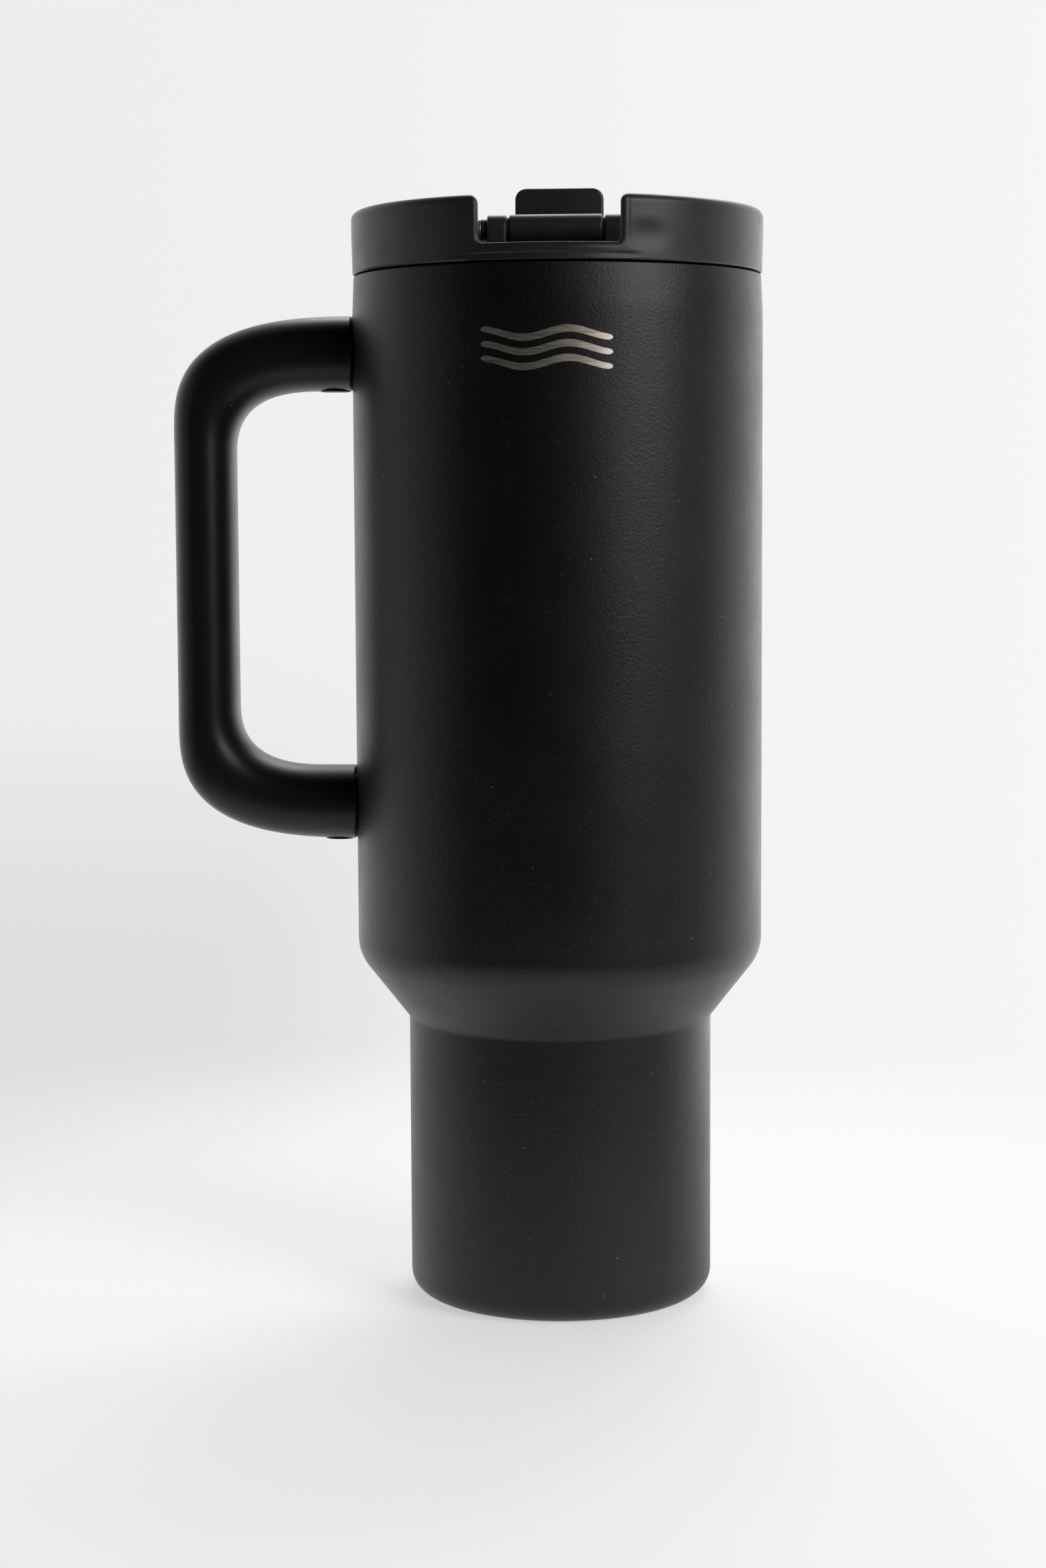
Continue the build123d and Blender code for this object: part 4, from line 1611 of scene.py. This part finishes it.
@dataclass(frozen=True)
class Softbox:
    """One soft light.

    Attributes:
        name: Its name.
        place: Where it stands, in metres.
        aim: The point that it faces.
        size: Its width and height in metres.
        power: Its power in watts.
        tone: Its colour.
    """

    name: str
    place: tuple[float, float, float]
    aim: tuple[float, float, float]
    size: tuple[float, float]
    power: float
    tone: tuple[float, float, float] = (1.0, 1.0, 1.0)

    def light(self) -> None:
        """Add the light to the scene, its face towards its aim."""
        lamp = bpy.data.lights.new(self.name, "AREA")
        lamp.shape = "RECTANGLE"
        lamp.size, lamp.size_y = self.size
        lamp.energy = self.power
        lamp.color = self.tone
        stand = bpy.data.objects.new(self.name, lamp)
        away = np.array(self.place) - np.array(self.aim)
        away = away / np.linalg.norm(away)
        right = np.cross((0.0, 0.0, 1.0), away)
        right = right / np.linalg.norm(right)
        up = np.cross(away, right)
        turned = Matrix([[right[i], up[i], away[i], self.place[i]] for i in range(3)] + [[0, 0, 0, 1]])
        stand.matrix_world = turned
        stand.visible_camera = False
        bpy.context.scene.collection.objects.link(stand)


@dataclass
class Studio:
    """Floor, lights, surroundings and camera.

    Attributes:
        floor_radius: Radius of the floor disc, in metres.
        floor_drop: How far the floor lies under the base, in millimetres.
        fade: Distances, in metres, over which the floor fades out.
        floor_glow: Light that the floor gives off.
        dip: How far the backdrop darkens towards the lower left.
        backdrop: Brightness of the backdrop that is seen.
        room_front: Light that comes from straight in front; room_back is that from behind.
        camera_place: The camera's place in metres.
        camera_turn: Its turn about the upright axis, in degrees.
        camera_tilt: Its tilt below level, in degrees.
        camera_roll: Its roll about its own view, in degrees.
        lens: Its focal length in millimetres.
    """

    floor_radius: float = 1.4
    floor_drop: float = 0.05
    fade: tuple[float, float] = (0.12, 0.36)
    dip: float = 0.14
    backdrop: float = 0.9
    room_front: float = 0.010
    room_back: float = 1.2
    floor_glow: float = 0.52
    camera_place: tuple[float, float, float] = (0.0284, -0.7131, 0.19655)
    camera_turn: float = 3.0
    camera_tilt: float = 5.577
    camera_roll: float = -0.296
    lens: float = 66.42
    lights: tuple[Softbox, ...] = (
        Softbox("key", (0.95, -0.80, 0.70), (0.0, 0.0, 0.17), (0.85, 0.8), 9.5),
        Softbox("high_back", (0.10, 0.75, 0.95), (0.0, 0.0, 0.25), (0.7, 0.5), 4.0),
        Softbox("left_wall", (-1.0, -0.10, 0.25), (0.0, 0.0, 0.15), (0.9, 0.9), 0.8),
    )

    def room_light(self, tree: Tree, parts: bpy.types.bpy_prop_collection) -> Socket:
        """Light that reaches the mug from a direction.

        It grows with how far it comes from behind and weakens overhead; from below it is the
        floor's, and it is stronger from the right.

        Args:
            tree: The world's tree.
            parts: X, Y and Z of the direction.

        Returns:
            The light's strength.
        """
        behind = remap(tree, parts["Y"], -0.15, 0.95, self.room_front, self.room_back)
        above = remap(tree, parts["Z"], 0.3, 0.95, 1.0, 0.35)
        below = remap(tree, parts["Z"], 0.0, -0.15, 0.0, 1.0)
        ground = maths(tree, "MULTIPLY", below, remap(tree, parts["Y"], -0.5, 0.5, 0.06, 0.8))
        strength = maths(tree, "MAXIMUM", maths(tree, "MULTIPLY", behind, above), ground)
        return maths(tree, "MULTIPLY", strength, remap(tree, parts["X"], -0.1, 0.35, 1.0, 1.5))

    def backdrop_light(self, tree: Tree, parts: bpy.types.bpy_prop_collection) -> Socket:
        """Brightness of the backdrop: a little more to the right, less in a band low on the left.

        Args:
            tree: The world's tree.
            parts: X, Y and Z of the direction.

        Returns:
            The backdrop's strength.
        """
        across = remap(tree, parts["X"], -0.25, 0.25, 0.95, 1.035)
        band = maths(tree, "MULTIPLY", remap(tree, parts["Z"], -0.04, -0.16, 0.0, self.dip),
                     remap(tree, parts["Z"], -0.27, -0.22, 0.0, 1.0))
        band = maths(tree, "MULTIPLY", band, remap(tree, parts["X"], -0.04, -0.16, 0.0, 1.0))
        level = maths(tree, "MULTIPLY", across, self.backdrop)
        return maths(tree, "MULTIPLY", level, maths(tree, "SUBTRACT", 1.0, band))

    def surroundings(self) -> None:
        """The world: an even pale backdrop to look at, and a room that is darker in front."""
        world = bpy.data.worlds.new("studio")
        bpy.context.scene.world = world
        world.use_nodes = True
        tree = world.node_tree
        tree.nodes.clear()
        toward = put(tree, "TexCoord").outputs["Generated"]
        parts = put(tree, "SeparateXYZ", Vector=toward).outputs
        room = put(tree, "Background", Color=WHITE, Strength=self.room_light(tree, parts))
        seen = put(tree, "Background", Color=WHITE, Strength=self.backdrop_light(tree, parts))
        ray = put(tree, "LightPath").outputs["Is Camera Ray"]
        both = put(tree, "MixShader", in0=ray, in1=room.outputs[0], in2=seen.outputs[0])
        output = tree.nodes.new("ShaderNodeOutputWorld")
        tree.links.new(both.outputs[0], output.inputs["Surface"])

    def floor(self) -> None:
        """Pale floor disc that fades into the backdrop away from the mug."""
        rings = np.linspace(0.0, self.floor_radius / MM, 24)
        profile = np.column_stack([rings, np.full(len(rings), -self.floor_drop)])
        disc = built("floor", lathe(profile, 96))
        material, tree, shader = fresh("pale_floor")
        place = put(tree, "TexCoord").outputs["Object"]
        far = put(tree, "VectorMath", {"operation": "LENGTH"}, in0=place).outputs["Value"]
        noise = put(tree, "TexNoise", Vector=place, Scale=7.0, Detail=2.0)
        tone = mixed(tree, noise.outputs["Fac"], (0.58, 0.58, 0.58), (0.60, 0.60, 0.60))
        tree.links.new(tone, shader.inputs["Base Color"])
        tree.links.new(remap(tree, far, *self.fade, 1.0, 0.0), shader.inputs["Alpha"])
        shader.inputs["Roughness"].default_value = 0.75
        shader.inputs["Specular IOR Level"].default_value = 0.2
        shader.inputs["Emission Color"].default_value = WHITE
        shader.inputs["Emission Strength"].default_value = self.floor_glow
        disc.data.materials.append(material)

    def camera(self) -> None:
        """Camera: turned about the upright axis, tilted down, then rolled about its own view."""
        lens = bpy.data.cameras.new("camera")
        lens.lens = self.lens
        lens.sensor_width = SENSOR
        lens.clip_start = 0.01
        eye = bpy.data.objects.new("camera", lens)
        turn = Matrix.Rotation(radians(self.camera_turn), 4, "Z")
        tilt = Matrix.Rotation(radians(90.0 - self.camera_tilt), 4, "X")
        roll = Matrix.Rotation(radians(self.camera_roll), 4, "Z")
        eye.matrix_world = Matrix.Translation(self.camera_place) @ turn @ tilt @ roll
        bpy.context.scene.collection.objects.link(eye)
        bpy.context.scene.camera = eye

    def build(self) -> None:
        """Set up the whole studio."""
        self.surroundings()
        self.floor()
        for softbox in self.lights:
            softbox.light()
        self.camera()
        view = bpy.context.scene.view_settings
        view.view_transform = "Standard"
        view.look = "None"


def main() -> None:
    """Build every class in order."""
    logging.basicConfig(level=logging.INFO, format="%(name)s: %(message)s")
    shop = Workshop()
    for assembly in (Vessel(shop), Handle(shop), Collar(shop), Lid(shop), Flap(shop), Studio()):
        log.info("building %s", type(assembly).__name__.lower())
        assembly.build()


if __name__ == "__main__":
    main()
